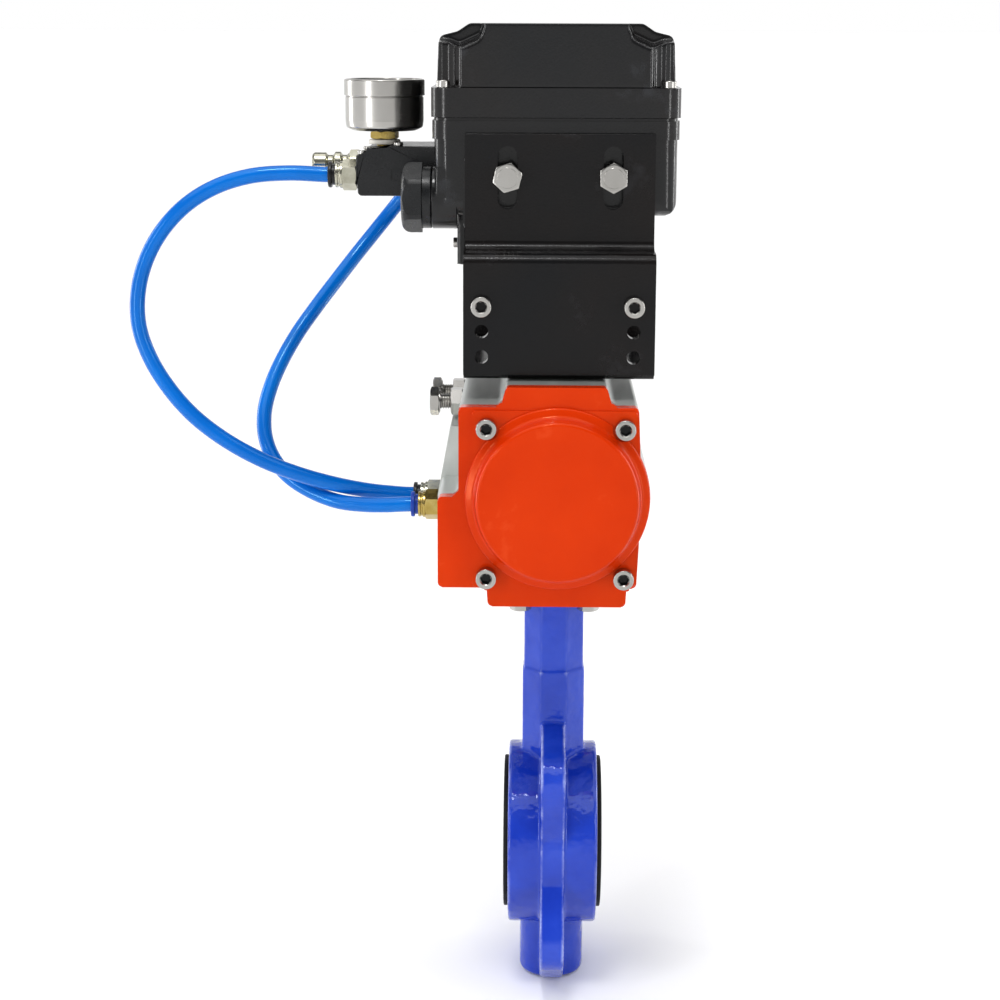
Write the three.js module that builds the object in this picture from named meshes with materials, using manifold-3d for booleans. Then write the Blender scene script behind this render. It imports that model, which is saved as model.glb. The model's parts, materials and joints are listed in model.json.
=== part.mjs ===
import * as THREE from "three";
import { mergeVertices } from "three/addons/utils/BufferGeometryUtils.js";
import Module from "manifold-3d";

// A rack-and-pinion quarter-turn actuator on a DN 50 wafer butterfly valve, with an electro-pneumatic
// positioner on a bracket above it. Millimetres. +Z runs up the stem and +X along the pipe, and the
// origin is where the two axes cross. At rest the valve is closed.

const wasm = await Module();
wasm.setup();

// ---- driving dimensions ------------------------------------------------------------------------

const GAP = 0.3; // clearance between neighbouring pieces
const BOLT_M6 = 3; // thread radii
const BOLT_M8 = 4;
const HEX = 6; // sides of a hexagon

const ACTUATOR_Z = 205; // height of the cylinder axis above the pipe axis
const TOP_Z = 259.5; // height of the actuator's top face

const PIPE_R = 25.5; // clear bore of the seat
const SEAT_LIP_R = 40.8;
const SEAT_CORE_R = 33;
const SEAT_HALF = 26; // half the width over the lips
const RING_R = 49;
const RING_HALF = 23.6;
const STEM_R = 6.3;
const BUSH_R = 8;
const LUG_HALF = 6.35; // half the thickness of the lug plate
const LUG_AT = 62.5 * Math.SQRT1_2; // lug holes on a 125 mm circle
const LUG_R = 17;
const LUG_HOLE_R = 9;
const BOSS_BOTTOM = -79.5;
const FLANGE_TOP = ACTUATOR_Z - 54.5 - GAP;
const FLANGE_BOTTOM = FLANGE_TOP - 14.7;
const FLANGE_BOLT_AT = 25 * Math.SQRT1_2; // F05 pattern, 50 mm circle

const BORE_R = 41.5; // the cylinder, 83 mm
const BODY_END = 82; // half the length of the body
const CAP_PLANE = 90; // outer face of the cap's flange
const CAP_END = 102;
const CAP_SCREWS = [[-34, 35], [33, 35], [-34, -39], [33, -39]];
const PITCH_R = 15; // pinion, 15 teeth of module 2
const TEETH = 15;
const PRESSURE_ANGLE = THREE.MathUtils.degToRad(20);
const RACK_HALF = 13; // half the height of the racks
const PISTON_INNER = 34; // inner face of a piston at rest
const PISTON_THICK = 12;
const STOP_Y = 15;
const STOP_Z = 34.8; // above the cylinder axis
const PORT_Y = 12;
const PORT_Z = -20.5;
const PORT_FACE = -60;

const PLATE = 3; // steel of both bracket plates
const LOWER_WALL_Y = 68; // outer face of the lower bracket's walls
const LOWER_HEIGHT = 58.5;
const UPPER_FRONT_Y = -71.3; // outer face of the upper bracket's lower flange
const UPPER_BACK_Y = -46; // outer face of its upper flange
const UPPER_LEDGE = 62;
const UPPER_TOP = 118.3;
const JOIN_X = 37.1; // socket screws that join the plates
const JOIN_Z = 36.9;
const SLOT_X = 26;
const SLOT_SHIFT = 1; // the slots' middle
const BOLT_Z = 97.2;

const HOUSING = { x0: -61.7, x1: 58.8, y0: -40, y1: 75, z0: 77.5, z1: 125.5 }; // heights above TOP_Z
const LID = { z0: 125.8, z1: 140.1, top: 171.1 };
const SPINDLE_R = 6;
const PLUG_AT = [-24, 85.5]; // conduit plug
const BLOCK = { x0: -103, x1: -62, y0: -5, y1: 42, z0: 84.5, z1: 109.7 };
const OUTLET_AT = [7, 94.5];
const SUPPLY_AT = [28, 99];
const REAR_PORT_AT = [-71, 95];
const GAUGE_AT = [-89.4, 12];
const GAUGE_R = 20.7;
const GAUGE_Z = 117; // underside of the gauge case
const TUBE_R = 4;
const MOUTH = 11.5; // height of a push-in fitting above its port's face
const COLLAR_TRAVEL = 1.5;

// Centreline of each air tube, from the upper fitting to the lower one.
const OUTER_ROUTE = [
  [-107, 7, 354], [-120, 7, 354], [-138, 6.5, 354.7], [-158, 5.5, 353.2], [-176, 4, 347.8],
  [-191.5, 2.5, 338.5], [-204, 1, 325.5], [-212.5, -0.5, 310.5], [-217, -2, 294], [-217, -3.5, 277],
  [-212, -4.5, 261], [-203, -5.5, 245.5], [-190, -7, 230.5], [-174, -8, 218], [-155, -8.5, 207.3],
  [-135, -7.5, 199.2], [-115, -3.2, 192.7], [-98, 3.9, 188], [-88, 8.3, 186], [-80, 11.1, 184.8],
  [-72, 12, 184.5], [-66, 12, 184.5],
];
const INNER_ROUTE = [
  [-71, 50, 354.5], [-71, 60, 354.5], [-72.3, 72, 352.9], [-77, 84.3, 346.9], [-84.2, 91.8, 337.7],
  [-92.6, 94, 327.3], [-101.6, 91.2, 316.2], [-111, 83.7, 304.6], [-121, 72.3, 291.8], [-131, 59.8, 278.7],
  [-140.5, 48.3, 265.2], [-148, 38, 251.7], [-153, 29, 239.3], [-155.6, 21.3, 227], [-154.6, 14.7, 214.7],
  [-149.7, 9.3, 204], [-141, 4.6, 195], [-128.5, 0.4, 188], [-114.5, -4.3, 183.9], [-100.5, -8.3, 183.1],
  [-88.5, -11, 183.6], [-80, -11.8, 184.2], [-72, -12, 184.5], [-66, -12, 184.5],
];

// ---- finishes ----------------------------------------------------------------------------------

const FINISHES = {
  blueEnamel: { color: 0x2c3cc4, roughness: 0.3, metalness: 0 },
  blackRubber: { color: 0x161616, roughness: 0.8, metalness: 0 },
  stainless: { color: 0xb8b6b0, roughness: 0.3, metalness: 1 },
  bronze: { color: 0x9a7440, roughness: 0.45, metalness: 1 },
  anodised: { color: 0x9fa6a2, roughness: 0.45, metalness: 0.9 },
  orangePaint: { color: 0xdd3208, roughness: 0.35, metalness: 0 },
  polymer: { color: 0xe6e2d4, roughness: 0.55, metalness: 0 },
  blackSteel: { color: 0x151617, roughness: 0.45, metalness: 0.1 },
  blackCasting: { color: 0x121314, roughness: 0.5, metalness: 0.1 },
  greenBoard: { color: 0x1d5a33, roughness: 0.5, metalness: 0 },
  brass: { color: 0xb8953c, roughness: 0.3, metalness: 1 },
  nickel: { color: 0xc4c0b2, roughness: 0.25, metalness: 1 },
  dialFace: { color: 0xf2f2ee, roughness: 0.6, metalness: 0 },
  glass: { color: 0xdfe8ea, roughness: 0.05, metalness: 0, transparent: true, opacity: 0.35 },
  blueTube: { color: 0x0a62dc, roughness: 0.2, metalness: 0 },
  bluePlastic: { color: 0x1450c0, roughness: 0.4, metalness: 0 },
  blackPlastic: { color: 0x18191a, roughness: 0.5, metalness: 0 },
};

// ---- shapes --------------------------------------------------------------------------------------

// An extrusion is drawn in the two axes that are left over, in the order Y-Z, X-Z or X-Y.
const EXTRUDED = {
  x: new THREE.Matrix4().set(0, 0, 1, 0, 1, 0, 0, 0, 0, 1, 0, 0, 0, 0, 0, 1),
  y: new THREE.Matrix4().makeRotationX(Math.PI / 2),
  z: new THREE.Matrix4(),
};
const TURNED = {
  x: new THREE.Matrix4().makeRotationZ(-Math.PI / 2),
  y: new THREE.Matrix4(),
  z: new THREE.Matrix4().makeRotationX(Math.PI / 2),
};

function slab(axis, shape, from, to, curveSegments = 2) {
  const geometry = new THREE.ExtrudeGeometry(shape, { depth: to - from, bevelEnabled: false, curveSegments });
  geometry.translate(0, 0, axis === "y" ? -to : from);
  return geometry.applyMatrix4(EXTRUDED[axis]);
}

// A profile of [radius, height] pairs, from the low end outwards and up, turned about a line along the axis.
function turned(axis, profile, [u, v] = [0, 0], sides = 16) {
  const points = profile.map(([r, h]) => new THREE.Vector2(r, h));
  const geometry = new THREE.LatheGeometry(points, sides).applyMatrix4(TURNED[axis]);
  const offset = { x: [0, u, v], y: [u, 0, v], z: [u, v, 0] }[axis];
  return geometry.translate(...offset);
}

function rod(axis, r, from, to, at, sides) {
  return turned(axis, [[0, from], [r, from], [r, to], [0, to]], at, sides);
}

function sleeve(axis, inner, outer, from, to, at, sides) {
  return turned(axis, [[inner, from], [outer, from], [outer, to], [inner, to], [inner, from]], at, sides);
}

function box(x0, x1, y0, y1, z0, z1) {
  const geometry = new THREE.BoxGeometry(x1 - x0, y1 - y0, z1 - z0);
  return geometry.translate((x0 + x1) / 2, (y0 + y1) / 2, (z0 + z1) / 2);
}

function polygon(points) {
  return new THREE.Shape(points.map(([u, v]) => new THREE.Vector2(u, v)));
}

function roundedRect(u0, u1, v0, v1, r) {
  const shape = new THREE.Shape();
  shape.absarc(u1 - r, v0 + r, r, -Math.PI / 2, 0);
  shape.absarc(u1 - r, v1 - r, r, 0, Math.PI / 2);
  shape.absarc(u0 + r, v1 - r, r, Math.PI / 2, Math.PI);
  shape.absarc(u0 + r, v0 + r, r, Math.PI, 1.5 * Math.PI);
  return shape;
}

const hexRadius = (acrossFlats) => acrossFlats / Math.sqrt(3);

// ---- solids --------------------------------------------------------------------------------------

function toSolid(geometry) {
  const plain = geometry.clone();
  plain.deleteAttribute("normal");
  plain.deleteAttribute("uv");
  const merged = mergeVertices(plain, 1e-4);
  const vertProperties = merged.attributes.position.array;
  const triVerts = new Uint32Array(merged.index.array);
  return new wasm.Manifold(new wasm.Mesh({ numProp: 3, vertProperties, triVerts }));
}

function toGeometry(solid) {
  const { vertProperties, triVerts } = solid.getMesh();
  const geometry = new THREE.BufferGeometry();
  geometry.setAttribute("position", new THREE.BufferAttribute(new Float32Array(vertProperties), 3));
  geometry.setIndex(new THREE.BufferAttribute(new Uint32Array(triVerts), 1));
  return geometry;
}

function join(...parts) {
  return toGeometry(parts.map(toSolid).reduce((whole, part) => whole.add(part)));
}

function cut(base, ...tools) {
  return toGeometry(tools.map(toSolid).reduce((whole, tool) => whole.subtract(tool), toSolid(base)));
}

function add(group, name, geometry, finish) {
  const mesh = new THREE.Mesh(geometry, new THREE.MeshStandardMaterial(FINISHES[finish]));
  mesh.name = name;
  group.add(mesh);
  return mesh;
}

// ---- valve ---------------------------------------------------------------------------------------

function lugOutline() {
  const shape = new THREE.Shape();
  const rad = THREE.MathUtils.degToRad;
  const rib = RING_R + 2;
  shape.moveTo(24, BOSS_BOTTOM + 3.7);
  shape.absarc(LUG_AT, -LUG_AT, LUG_R, rad(-80), rad(20));
  shape.absarc(0, 0, rib, rad(-14), rad(14));
  shape.absarc(LUG_AT, LUG_AT, LUG_R, rad(-20), rad(80));
  shape.lineTo(22, 66);
  shape.lineTo(-22, 66);
  shape.absarc(-LUG_AT, LUG_AT, LUG_R, rad(100), rad(200));
  shape.absarc(0, 0, rib, rad(166), rad(194));
  shape.absarc(-LUG_AT, -LUG_AT, LUG_R, rad(160), rad(260));
  shape.lineTo(-24, BOSS_BOTTOM + 3.7);
  return shape;
}

function chamferedSquare(half, chamfer) {
  const c = half - chamfer;
  return polygon([[-c, -half], [c, -half], [half, -c], [half, c], [c, half], [-c, half], [-half, c], [-half, -c]]);
}

function valveBody() {
  const cast = join(
    rod("x", RING_R, -RING_HALF, RING_HALF, [0, 0], 32),
    slab("x", lugOutline(), -LUG_HALF, LUG_HALF),
    turned("z", [[0, BOSS_BOTTOM], [14.3, BOSS_BOTTOM], [17.2, BOSS_BOTTOM + 3], [17.2, -30], [0, -30]]),
    slab("z", chamferedSquare(16.5, 9.7), 30, 94.5),
    slab("z", chamferedSquare(15.75, 9.2), 90, FLANGE_BOTTOM + 1),
    slab("z", roundedRect(-26, 26, -26, 26, 9), FLANGE_BOTTOM, FLANGE_TOP),
  );
  const corners = [[-1, -1], [1, -1], [1, 1], [-1, 1]];
  return cut(
    cast,
    rod("x", SEAT_CORE_R + GAP, -30, 30, [0, 0], 24),
    rod("z", BUSH_R + GAP, BOSS_BOTTOM - 1, FLANGE_TOP + 1),
    ...corners.map(([y, z]) => rod("x", LUG_HOLE_R, -10, 10, [y * LUG_AT, z * LUG_AT], 12)),
    ...corners.map(([x, y]) =>
      rod("z", BOLT_M6 + GAP, FLANGE_BOTTOM - 1, FLANGE_TOP + 1, [x * FLANGE_BOLT_AT, y * FLANGE_BOLT_AT], 8)),
  );
}

function valveSeat() {
  const lipInner = RING_HALF + GAP;
  const profile = [
    [PIPE_R, -SEAT_HALF], [SEAT_LIP_R, -SEAT_HALF], [SEAT_LIP_R, -lipInner], [SEAT_CORE_R, -lipInner],
    [SEAT_CORE_R, lipInner], [SEAT_LIP_R, lipInner], [SEAT_LIP_R, SEAT_HALF], [PIPE_R, SEAT_HALF],
    [PIPE_R, -SEAT_HALF],
  ];
  return cut(turned("x", profile, [0, 0], 24), rod("z", STEM_R + GAP, -40, 40));
}

function valveDisc() {
  const rim = PIPE_R - 0.5;
  const profile = [[0, -5], [15, -5], [22, -3.6], [rim, -1.5], [rim, 1.5], [22, 3.6], [15, 5], [0, 5]];
  const blank = join(turned("x", profile, [0, 0], 24), rod("z", 9, -23.2, 23.2));
  return cut(blank, rod("z", STEM_R + GAP, -30, 30));
}

function valveStem() {
  const shoulder = FLANGE_TOP - 0.7;
  return join(
    rod("z", STEM_R, -71.5, shoulder),
    box(-5.5, 5.5, -5.5, 5.5, shoulder - 1, shoulder + 13.5),
  );
}

function flangeBolt() {
  return join(
    rod("z", hexRadius(10), -6, -1.9, [0, 0], HEX),
    rod("z", 6, -2, -GAP, [0, 0], 12),
    rod("z", BOLT_M6, -1, 24, [0, 0], 8),
  );
}

function buildValve() {
  const valve = new THREE.Group();
  add(valve, "valve_body", valveBody(), "blueEnamel");
  add(valve, "valve_seat", valveSeat(), "blackRubber");
  add(valve, "valve_disc", valveDisc(), "stainless");
  add(valve, "valve_stem", valveStem(), "stainless");
  add(valve, "stem_bush_upper", sleeve("z", STEM_R + GAP, BUSH_R, 118, FLANGE_TOP - 2.5), "bronze");
  add(valve, "stem_bush_lower", sleeve("z", STEM_R + GAP, BUSH_R, -70, -50), "bronze");
  add(valve, "stem_end_plug", rod("z", BUSH_R, BOSS_BOTTOM + GAP, -72), "stainless");
  [[-1, -1], [1, -1], [1, 1], [-1, 1]].forEach(([x, y], i) => {
    const bolt = add(valve, `flange_bolt_${i + 1}`, flangeBolt(), "stainless");
    bolt.position.set(x * FLANGE_BOLT_AT, y * FLANGE_BOLT_AT, FLANGE_BOTTOM);
  });
  return valve;
}

// ---- actuator, drawn about its cylinder axis -------------------------------------------------------

function bodyOutline() {
  const bulgeR = 45.2;
  const bulgeX = 0.5;
  const side = 39.6;
  const angle = Math.acos((side - bulgeX) / bulgeR);
  const shape = new THREE.Shape();
  shape.moveTo(-33.5, -54.5);
  shape.lineTo(34.5, -54.5);
  shape.lineTo(34.5, -45);
  shape.lineTo(side, -45);
  shape.absarc(bulgeX, 0, bulgeR, -angle, angle);
  shape.lineTo(side, 44.8);
  shape.lineTo(24, 44.8);
  shape.lineTo(24, 54.5);
  shape.lineTo(-25, 54.5);
  shape.lineTo(-25, 44.8);
  shape.lineTo(-47.6, 44.8);
  shape.lineTo(-47.6, 3);
  shape.quadraticCurveTo(-47.6, 0.5, -50.6, 0.5);
  shape.lineTo(-56, 0.5);
  shape.quadraticCurveTo(-57.8, 0.5, -57.8, -1.5);
  shape.lineTo(-57.8, -45);
  shape.lineTo(-33.5, -45);
  return shape;
}

function actuatorBody() {
  const pad = polygon([[-46, 27], [-53.5, 25], [PORT_FACE, -9], [PORT_FACE, -45], [-46, -45]]);
  const blank = join(slab("y", bodyOutline(), -BODY_END, BODY_END), slab("y", pad, -40, 40));
  const screwHoles = [-1, 1].flatMap((end) => CAP_SCREWS.map((at) =>
    rod("y", BOLT_M6 + GAP, end < 0 ? -83 : 66, end < 0 ? -66 : 83, at, 8)));
  const flangeHoles = [[-1, -1], [1, -1], [1, 1], [-1, 1]].map(([x, y]) =>
    rod("z", BOLT_M6 + GAP, -55, -43.5, [x * FLANGE_BOLT_AT, y * FLANGE_BOLT_AT], 8));
  const sides = [-1, 1];
  return cut(
    blank,
    rod("y", BORE_R, -BODY_END - 1, BODY_END + 1, [0, 0], 32),
    rod("z", 13.3, 30, 60),
    rod("z", 17.3, -60, -30),
    ...sides.map((s) => rod("x", BOLT_M8 + GAP, -50, -8, [s * STOP_Y, STOP_Z], 12)),
    ...sides.map((s) => rod("x", 5.1, PORT_FACE - 1, -30, [s * PORT_Y, PORT_Z], 12)),
    ...screwHoles,
    ...flangeHoles,
  );
}

// The front cap; the rear one is the same casting with its outline mirrored to the rear.
function endCap() {
  const profile = [
    [0, -CAP_END], [37.9, -CAP_END], [39.2, -CAP_END + 1.2], [39.8, -95.6], [41.5, -94.4], [45, -93],
    [45, -CAP_PLANE + 1], [0, -CAP_PLANE + 1],
  ];
  const blank = join(
    slab("y", bodyOutline(), -CAP_PLANE, -BODY_END - GAP),
    box(-41.3, 39.4, -CAP_PLANE - 1.2, -CAP_PLANE + 1, -45, 44),
    turned("y", profile, [0.5, 0], 32),
  );
  return cut(
    blank,
    rod("y", 35, -98, -BODY_END, [0, 0], 16),
    ...CAP_SCREWS.map((at) => rod("y", 6, -105, -CAP_PLANE - 1.2, at, 12)),
    ...CAP_SCREWS.map((at) => rod("y", BOLT_M6 + GAP, -95, -BODY_END, at, 8)),
  );
}

function mirrored(geometry) {
  return toGeometry(toSolid(geometry).mirror([0, 1, 0]));
}

function capScrew() {
  const blank = join(rod("y", 5, -6, 0, [0, 0], 12), rod("y", BOLT_M6, -1, 21, [0, 0], 8));
  return cut(blank, rod("y", hexRadius(5), -7, -3, [0, 0], HEX));
}

// Angle between a tooth's centre line and its involute flank at a radius.
function halfToothAngle(r) {
  const base = PITCH_R * Math.cos(PRESSURE_ANGLE);
  const involute = (a) => Math.tan(a) - a;
  const backlash = 0.35;
  const halfAtPitch = Math.PI / (2 * TEETH) - backlash / (2 * PITCH_R);
  const angle = Math.acos(Math.min(1, base / r));
  return halfAtPitch + involute(PRESSURE_ANGLE) - involute(angle);
}

function gearOutline() {
  const root = 12.4;
  const flankRadii = [root, 14.2, 15.4, 16.7];
  const points = [];
  for (let tooth = 0; tooth < TEETH; tooth++) {
    const centre = (2 * Math.PI * tooth) / TEETH;
    const flank = flankRadii.map((r) => [r, halfToothAngle(r)]);
    const around = [...flank.map(([r, a]) => [r, centre - a]), ...flank.reverse().map(([r, a]) => [r, centre + a])];
    points.push(...around.map(([r, a]) => [r * Math.cos(a), r * Math.sin(a)]));
  }
  return polygon(points);
}

function camOutline() {
  const shape = new THREE.Shape();
  const rad = THREE.MathUtils.degToRad;
  shape.moveTo(0, 0);
  shape.absarc(0, 0, 15.7, rad(239), rad(391));
  return shape;
}

function pinion() {
  const blank = join(
    rod("z", 14, -53, -RACK_HALF),
    slab("z", gearOutline(), -RACK_HALF - 1, RACK_HALF + 1),
    rod("z", 11, RACK_HALF, 57),
    slab("z", camOutline(), 27, 37.5, 5),
    slab("z", chamferedSquare(8, 4.5), 55, 74.5),
  );
  return cut(blank, box(-5.8, 5.8, -5.8, 5.8, -60, -39.5), box(-20, 20, -2, 2, 71.5, 80));
}

// The rack of the front piston, seen from above. It meshes on the pinion's -X side, and firstTooth
// shifts its teeth by that many pitches.
function rackOutline(firstTooth) {
  const pitch = (2 * Math.PI * PITCH_R) / TEETH;
  const tip = 1.6;
  const root = 2.4;
  const slope = Math.tan(PRESSURE_ANGLE);
  const half = pitch / 4 - 0.15;
  const points = [[-27, -PISTON_INNER - 1], [-PITCH_R - root, -PISTON_INNER - 1]];
  for (let k = -4; k <= 4; k++) {
    const y = (k + firstTooth) * pitch;
    points.push([-PITCH_R - root, y - half - root * slope], [-PITCH_R + tip, y - half + tip * slope]);
    points.push([-PITCH_R + tip, y + half - tip * slope], [-PITCH_R - root, y + half + root * slope]);
  }
  points.push([-PITCH_R - root, PISTON_INNER - 2], [-27, PISTON_INNER - 2]);
  return polygon(points);
}

function piston(firstTooth) {
  const outer = -PISTON_INNER - PISTON_THICK;
  const groove = 38.8;
  const head = turned("y", [
    [0, outer], [BORE_R - GAP, outer], [BORE_R - GAP, outer + 4], [groove, outer + 4], [groove, outer + 8],
    [BORE_R - GAP, outer + 8], [BORE_R - GAP, -PISTON_INNER], [0, -PISTON_INNER],
  ], [0, 0], 24);
  return join(head, slab("z", rackOutline(firstTooth), -RACK_HALF, RACK_HALF));
}

function pistonRing() {
  const outer = -PISTON_INNER - PISTON_THICK;
  return sleeve("y", 38.8 + GAP, BORE_R - GAP, outer + 4.3, outer + 7.7, [0, 0], 24);
}

function stopScrew() {
  return join(rod("x", BOLT_M8, -61, -9, [0, 0], 12), rod("x", hexRadius(13), -64.9, -59.9, [0, 0], HEX));
}

function buildActuator() {
  const actuator = new THREE.Group();
  actuator.position.z = ACTUATOR_Z;
  add(actuator, "actuator_body", actuatorBody(), "anodised");
  add(actuator, "end_cap_front", endCap(), "orangePaint");
  add(actuator, "end_cap_rear", mirrored(endCap()), "orangePaint");
  CAP_SCREWS.forEach(([x, z], i) => {
    const screw = add(actuator, `cap_screw_${i + 1}`, capScrew(), "stainless");
    screw.position.set(x, -CAP_PLANE - 1.2 - GAP, z);
  });
  add(actuator, "pinion", pinion(), "stainless");
  add(actuator, "pinion_bearing_upper", sleeve("z", 11.3, 13, 43, 54), "polymer");
  add(actuator, "pinion_bearing_lower", sleeve("z", 14.3, 17, -53, -42), "polymer");
  add(actuator, "piston_front", piston(0), "anodised");
  const rear = add(actuator, "piston_rear", piston(0.5), "anodised");
  rear.rotation.z = Math.PI;
  add(actuator, "piston_ring_front", pistonRing(), "blackRubber");
  add(actuator, "piston_ring_rear", pistonRing(), "blackRubber").rotation.z = Math.PI;
  for (const [side, y] of [["front", -STOP_Y], ["rear", STOP_Y]]) {
    add(actuator, `stop_screw_${side}`, stopScrew(), "stainless").position.set(0, y, STOP_Z);
    const nut = cut(
      rod("x", hexRadius(13), -54.3, -47.6 - GAP, [0, 0], HEX),
      rod("x", BOLT_M8 + GAP, -60, -40, [0, 0], 12),
    );
    add(actuator, `stop_nut_${side}`, nut, "stainless").position.set(0, y, STOP_Z);
  }
  return actuator;
}

// ---- bracket, drawn above the actuator's top face ---------------------------------------------------

function lowerBracket() {
  const w = LOWER_WALL_Y;
  const section = polygon([
    [-w, GAP], [w, GAP], [w, LOWER_HEIGHT], [w - PLATE, LOWER_HEIGHT], [w - PLATE, GAP + PLATE],
    [-w + PLATE, GAP + PLATE], [-w + PLATE, LOWER_HEIGHT], [-w, LOWER_HEIGHT],
  ]);
  const wallHoles = [-JOIN_X, JOIN_X].flatMap((x) => [0, 12.5, 25].map((down) =>
    rod("y", BOLT_M6 + GAP, -w - 2, w + 2, [x, JOIN_Z - down], 8)));
  const baseHoles = [[-15, -40], [15, -40], [15, 40], [-15, 40]].map((at) => rod("z", 2.8, -1, 5, at, 8));
  return cut(
    slab("x", section, -46, 47.5),
    rod("z", 22, -1, 5),
    ...wallHoles,
    ...baseHoles,
  );
}

function upperBracket() {
  const f = UPPER_FRONT_Y;
  const b = UPPER_BACK_Y;
  const ledge = UPPER_LEDGE;
  const section = polygon([
    [f, 3], [f + PLATE, 3], [f + PLATE, ledge - PLATE], [b + PLATE, ledge - PLATE], [b + PLATE, UPPER_TOP],
    [b, UPPER_TOP], [b, ledge], [f + 2, ledge], [f, ledge - 2],
  ]);
  const slotR = 4.9;
  const slots = [-SLOT_X, SLOT_X].map((x) => {
    const u = x + SLOT_SHIFT;
    return slab("y", roundedRect(u - slotR, u + slotR, 81.5, 112.3, slotR - 0.01), b - 2, b + PLATE + 2);
  });
  const holes = [-JOIN_X, JOIN_X].flatMap((x) => [0, 12.5, 25].map((down) =>
    rod("y", BOLT_M6 + GAP, f - 2, f + PLATE + 2, [x, JOIN_Z - down], 8)));
  const corner = 3;
  const top = UPPER_TOP + 1;
  const corners = [[-46, 1], [47.5, -1]].map(([x, side]) =>
    slab("y", polygon([[x - side, top - corner - 1], [x + side * (corner + 1), top], [x - side, top]]), b - 1, b + 4));
  return cut(slab("x", section, -46, 47.5), ...slots, ...holes, ...corners);
}

function bracketScrew() {
  const blank = join(
    rod("y", 5, -5.7, 0, [0, 0], 12),
    rod("y", BOLT_M6, -1, 12, [0, 0], 8),
    rod("y", hexRadius(10), 6.9, 11, [0, 0], HEX),
  );
  return cut(blank, rod("y", hexRadius(5), -7, -2.7, [0, 0], HEX));
}

function positionerBolt() {
  return join(rod("y", hexRadius(13), -5.6, 0, [0, 0], HEX), rod("y", BOLT_M8, -1, 16, [0, 0], 8));
}

function buildBracket() {
  const bracket = new THREE.Group();
  bracket.position.z = TOP_Z;
  add(bracket, "lower_bracket", lowerBracket(), "blackSteel");
  add(bracket, "upper_bracket", upperBracket(), "blackSteel");
  for (const [side, sign] of [["left", -1], ["right", 1]]) {
    const screw = add(bracket, `bracket_screw_${side}`, bracketScrew(), "stainless");
    screw.position.set(sign * JOIN_X, UPPER_FRONT_Y - GAP, JOIN_Z);
    const bolt = add(bracket, `positioner_bolt_${side}`, positionerBolt(), "stainless");
    bolt.position.set(sign * SLOT_X + SLOT_SHIFT, UPPER_BACK_Y - GAP, BOLT_Z);
  }
  return bracket;
}

// ---- positioner, drawn above the actuator's top face --------------------------------------------------

function housing() {
  const h = HOUSING;
  const wall = 4;
  const blank = join(
    slab("z", roundedRect(h.x0, h.x1, h.y0, h.y1, 9), h.z0, h.z1),
    slab("z", roundedRect(h.x0 - 1, h.x1 + 1, h.y0 - 1, h.y1 + 1, 10), 114, h.z1),
    slab("y", roundedRect(-47, 47, 70.5, 108.5, 4), -42.7, h.y0 + 6),
    rod("x", 15.5, -63, -50, PLUG_AT),
  );
  return cut(
    blank,
    slab("z", roundedRect(h.x0 + wall, h.x1 - wall, h.y0 + wall + 6, h.y1 - wall, 5), h.z0 + wall, h.z1 + 1),
    rod("z", SPINDLE_R + GAP, 70, 90),
    rod("x", 9.3, -64, -50, PLUG_AT),
    ...[-SLOT_X, SLOT_X].map((x) => rod("y", BOLT_M8 + GAP, -45, -28, [x + SLOT_SHIFT, BOLT_Z], 8)),
    ...[0, 1].map((i) => rod("x", 3, -66, -50, [15 + 15 * i, 97], 8)),
  );
}

function lid() {
  const h = HOUSING;
  const shoulder = polygon([
    [h.x0 + 0.6, LID.z1 - 1], [h.x1 - 0.6, LID.z1 - 1], [h.x1 - 1.5, 158], [h.x1 - 9, 162.5], [h.x1 - 22, LID.top],
    [h.x0 + 23, LID.top], [h.x0 + 10, 163], [h.x0 + 1.5, 158.5],
  ]);
  const dome = slab("y", shoulder, h.y0 - 1, h.y1 + 1);
  const flange = slab("z", roundedRect(h.x0 - 1.5, h.x1 + 1.5, h.y0 - 1.5, h.y1 + 1.5, 10), LID.z0, LID.z1);
  const corners = [[-1, -1], [1, -1], [1, 1], [-1, 1]].map(([sx, sy]) => {
    const x = sx < 0 ? h.x0 : h.x1;
    const y = sy < 0 ? h.y0 : h.y1;
    return box(x - 11, x + 11, y - 11, y + 11, LID.z1, LID.top + 1);
  });
  const inner = roundedRect(h.x0 + 5, h.x1 - 5, h.y0 + 5, h.y1 - 5, 5);
  const crown = roundedRect(h.x0 + 14, h.x1 - 14, h.y0 + 5, h.y1 - 5, 5);
  return cut(
    join(cut(dome, ...corners), flange),
    slab("z", inner, LID.z0 - 1, LID.z1 - 3),
    slab("z", crown, LID.z0 - 1, LID.top - 9),
    slab("z", roundedRect(h.x0 + 1.5, h.x1 - 1.5, h.y0 + 1.5, h.y1 - 1.5, 8), LID.z0 - 1, LID.z0 + 2),
  );
}

function lidGasket() {
  const h = HOUSING;
  const outer = roundedRect(h.x0 + 2, h.x1 - 2, h.y0 + 2, h.y1 - 2, 7.5);
  const inner = roundedRect(h.x0 + 4.8, h.x1 - 4.8, h.y0 + 4.8, h.y1 - 4.8, 5);
  return cut(slab("z", outer, LID.z0, LID.z0 + 1.6), slab("z", inner, LID.z0 - 1, LID.z0 + 3));
}

function feedbackFork() {
  const arms = [-1, 1].map((s) => box(Math.min(s * 22, s * 30), Math.max(s * 22, s * 30), -4, 4, 24, 41));
  const blank = join(box(-30, 30, -9, 9, 21.5, 26), ...arms);
  return cut(blank, ...[-1, 1].map((s) => box(Math.min(s * 20, s * 32), Math.max(s * 20, s * 32), -1.8, 1.8, 31, 42)));
}

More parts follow.
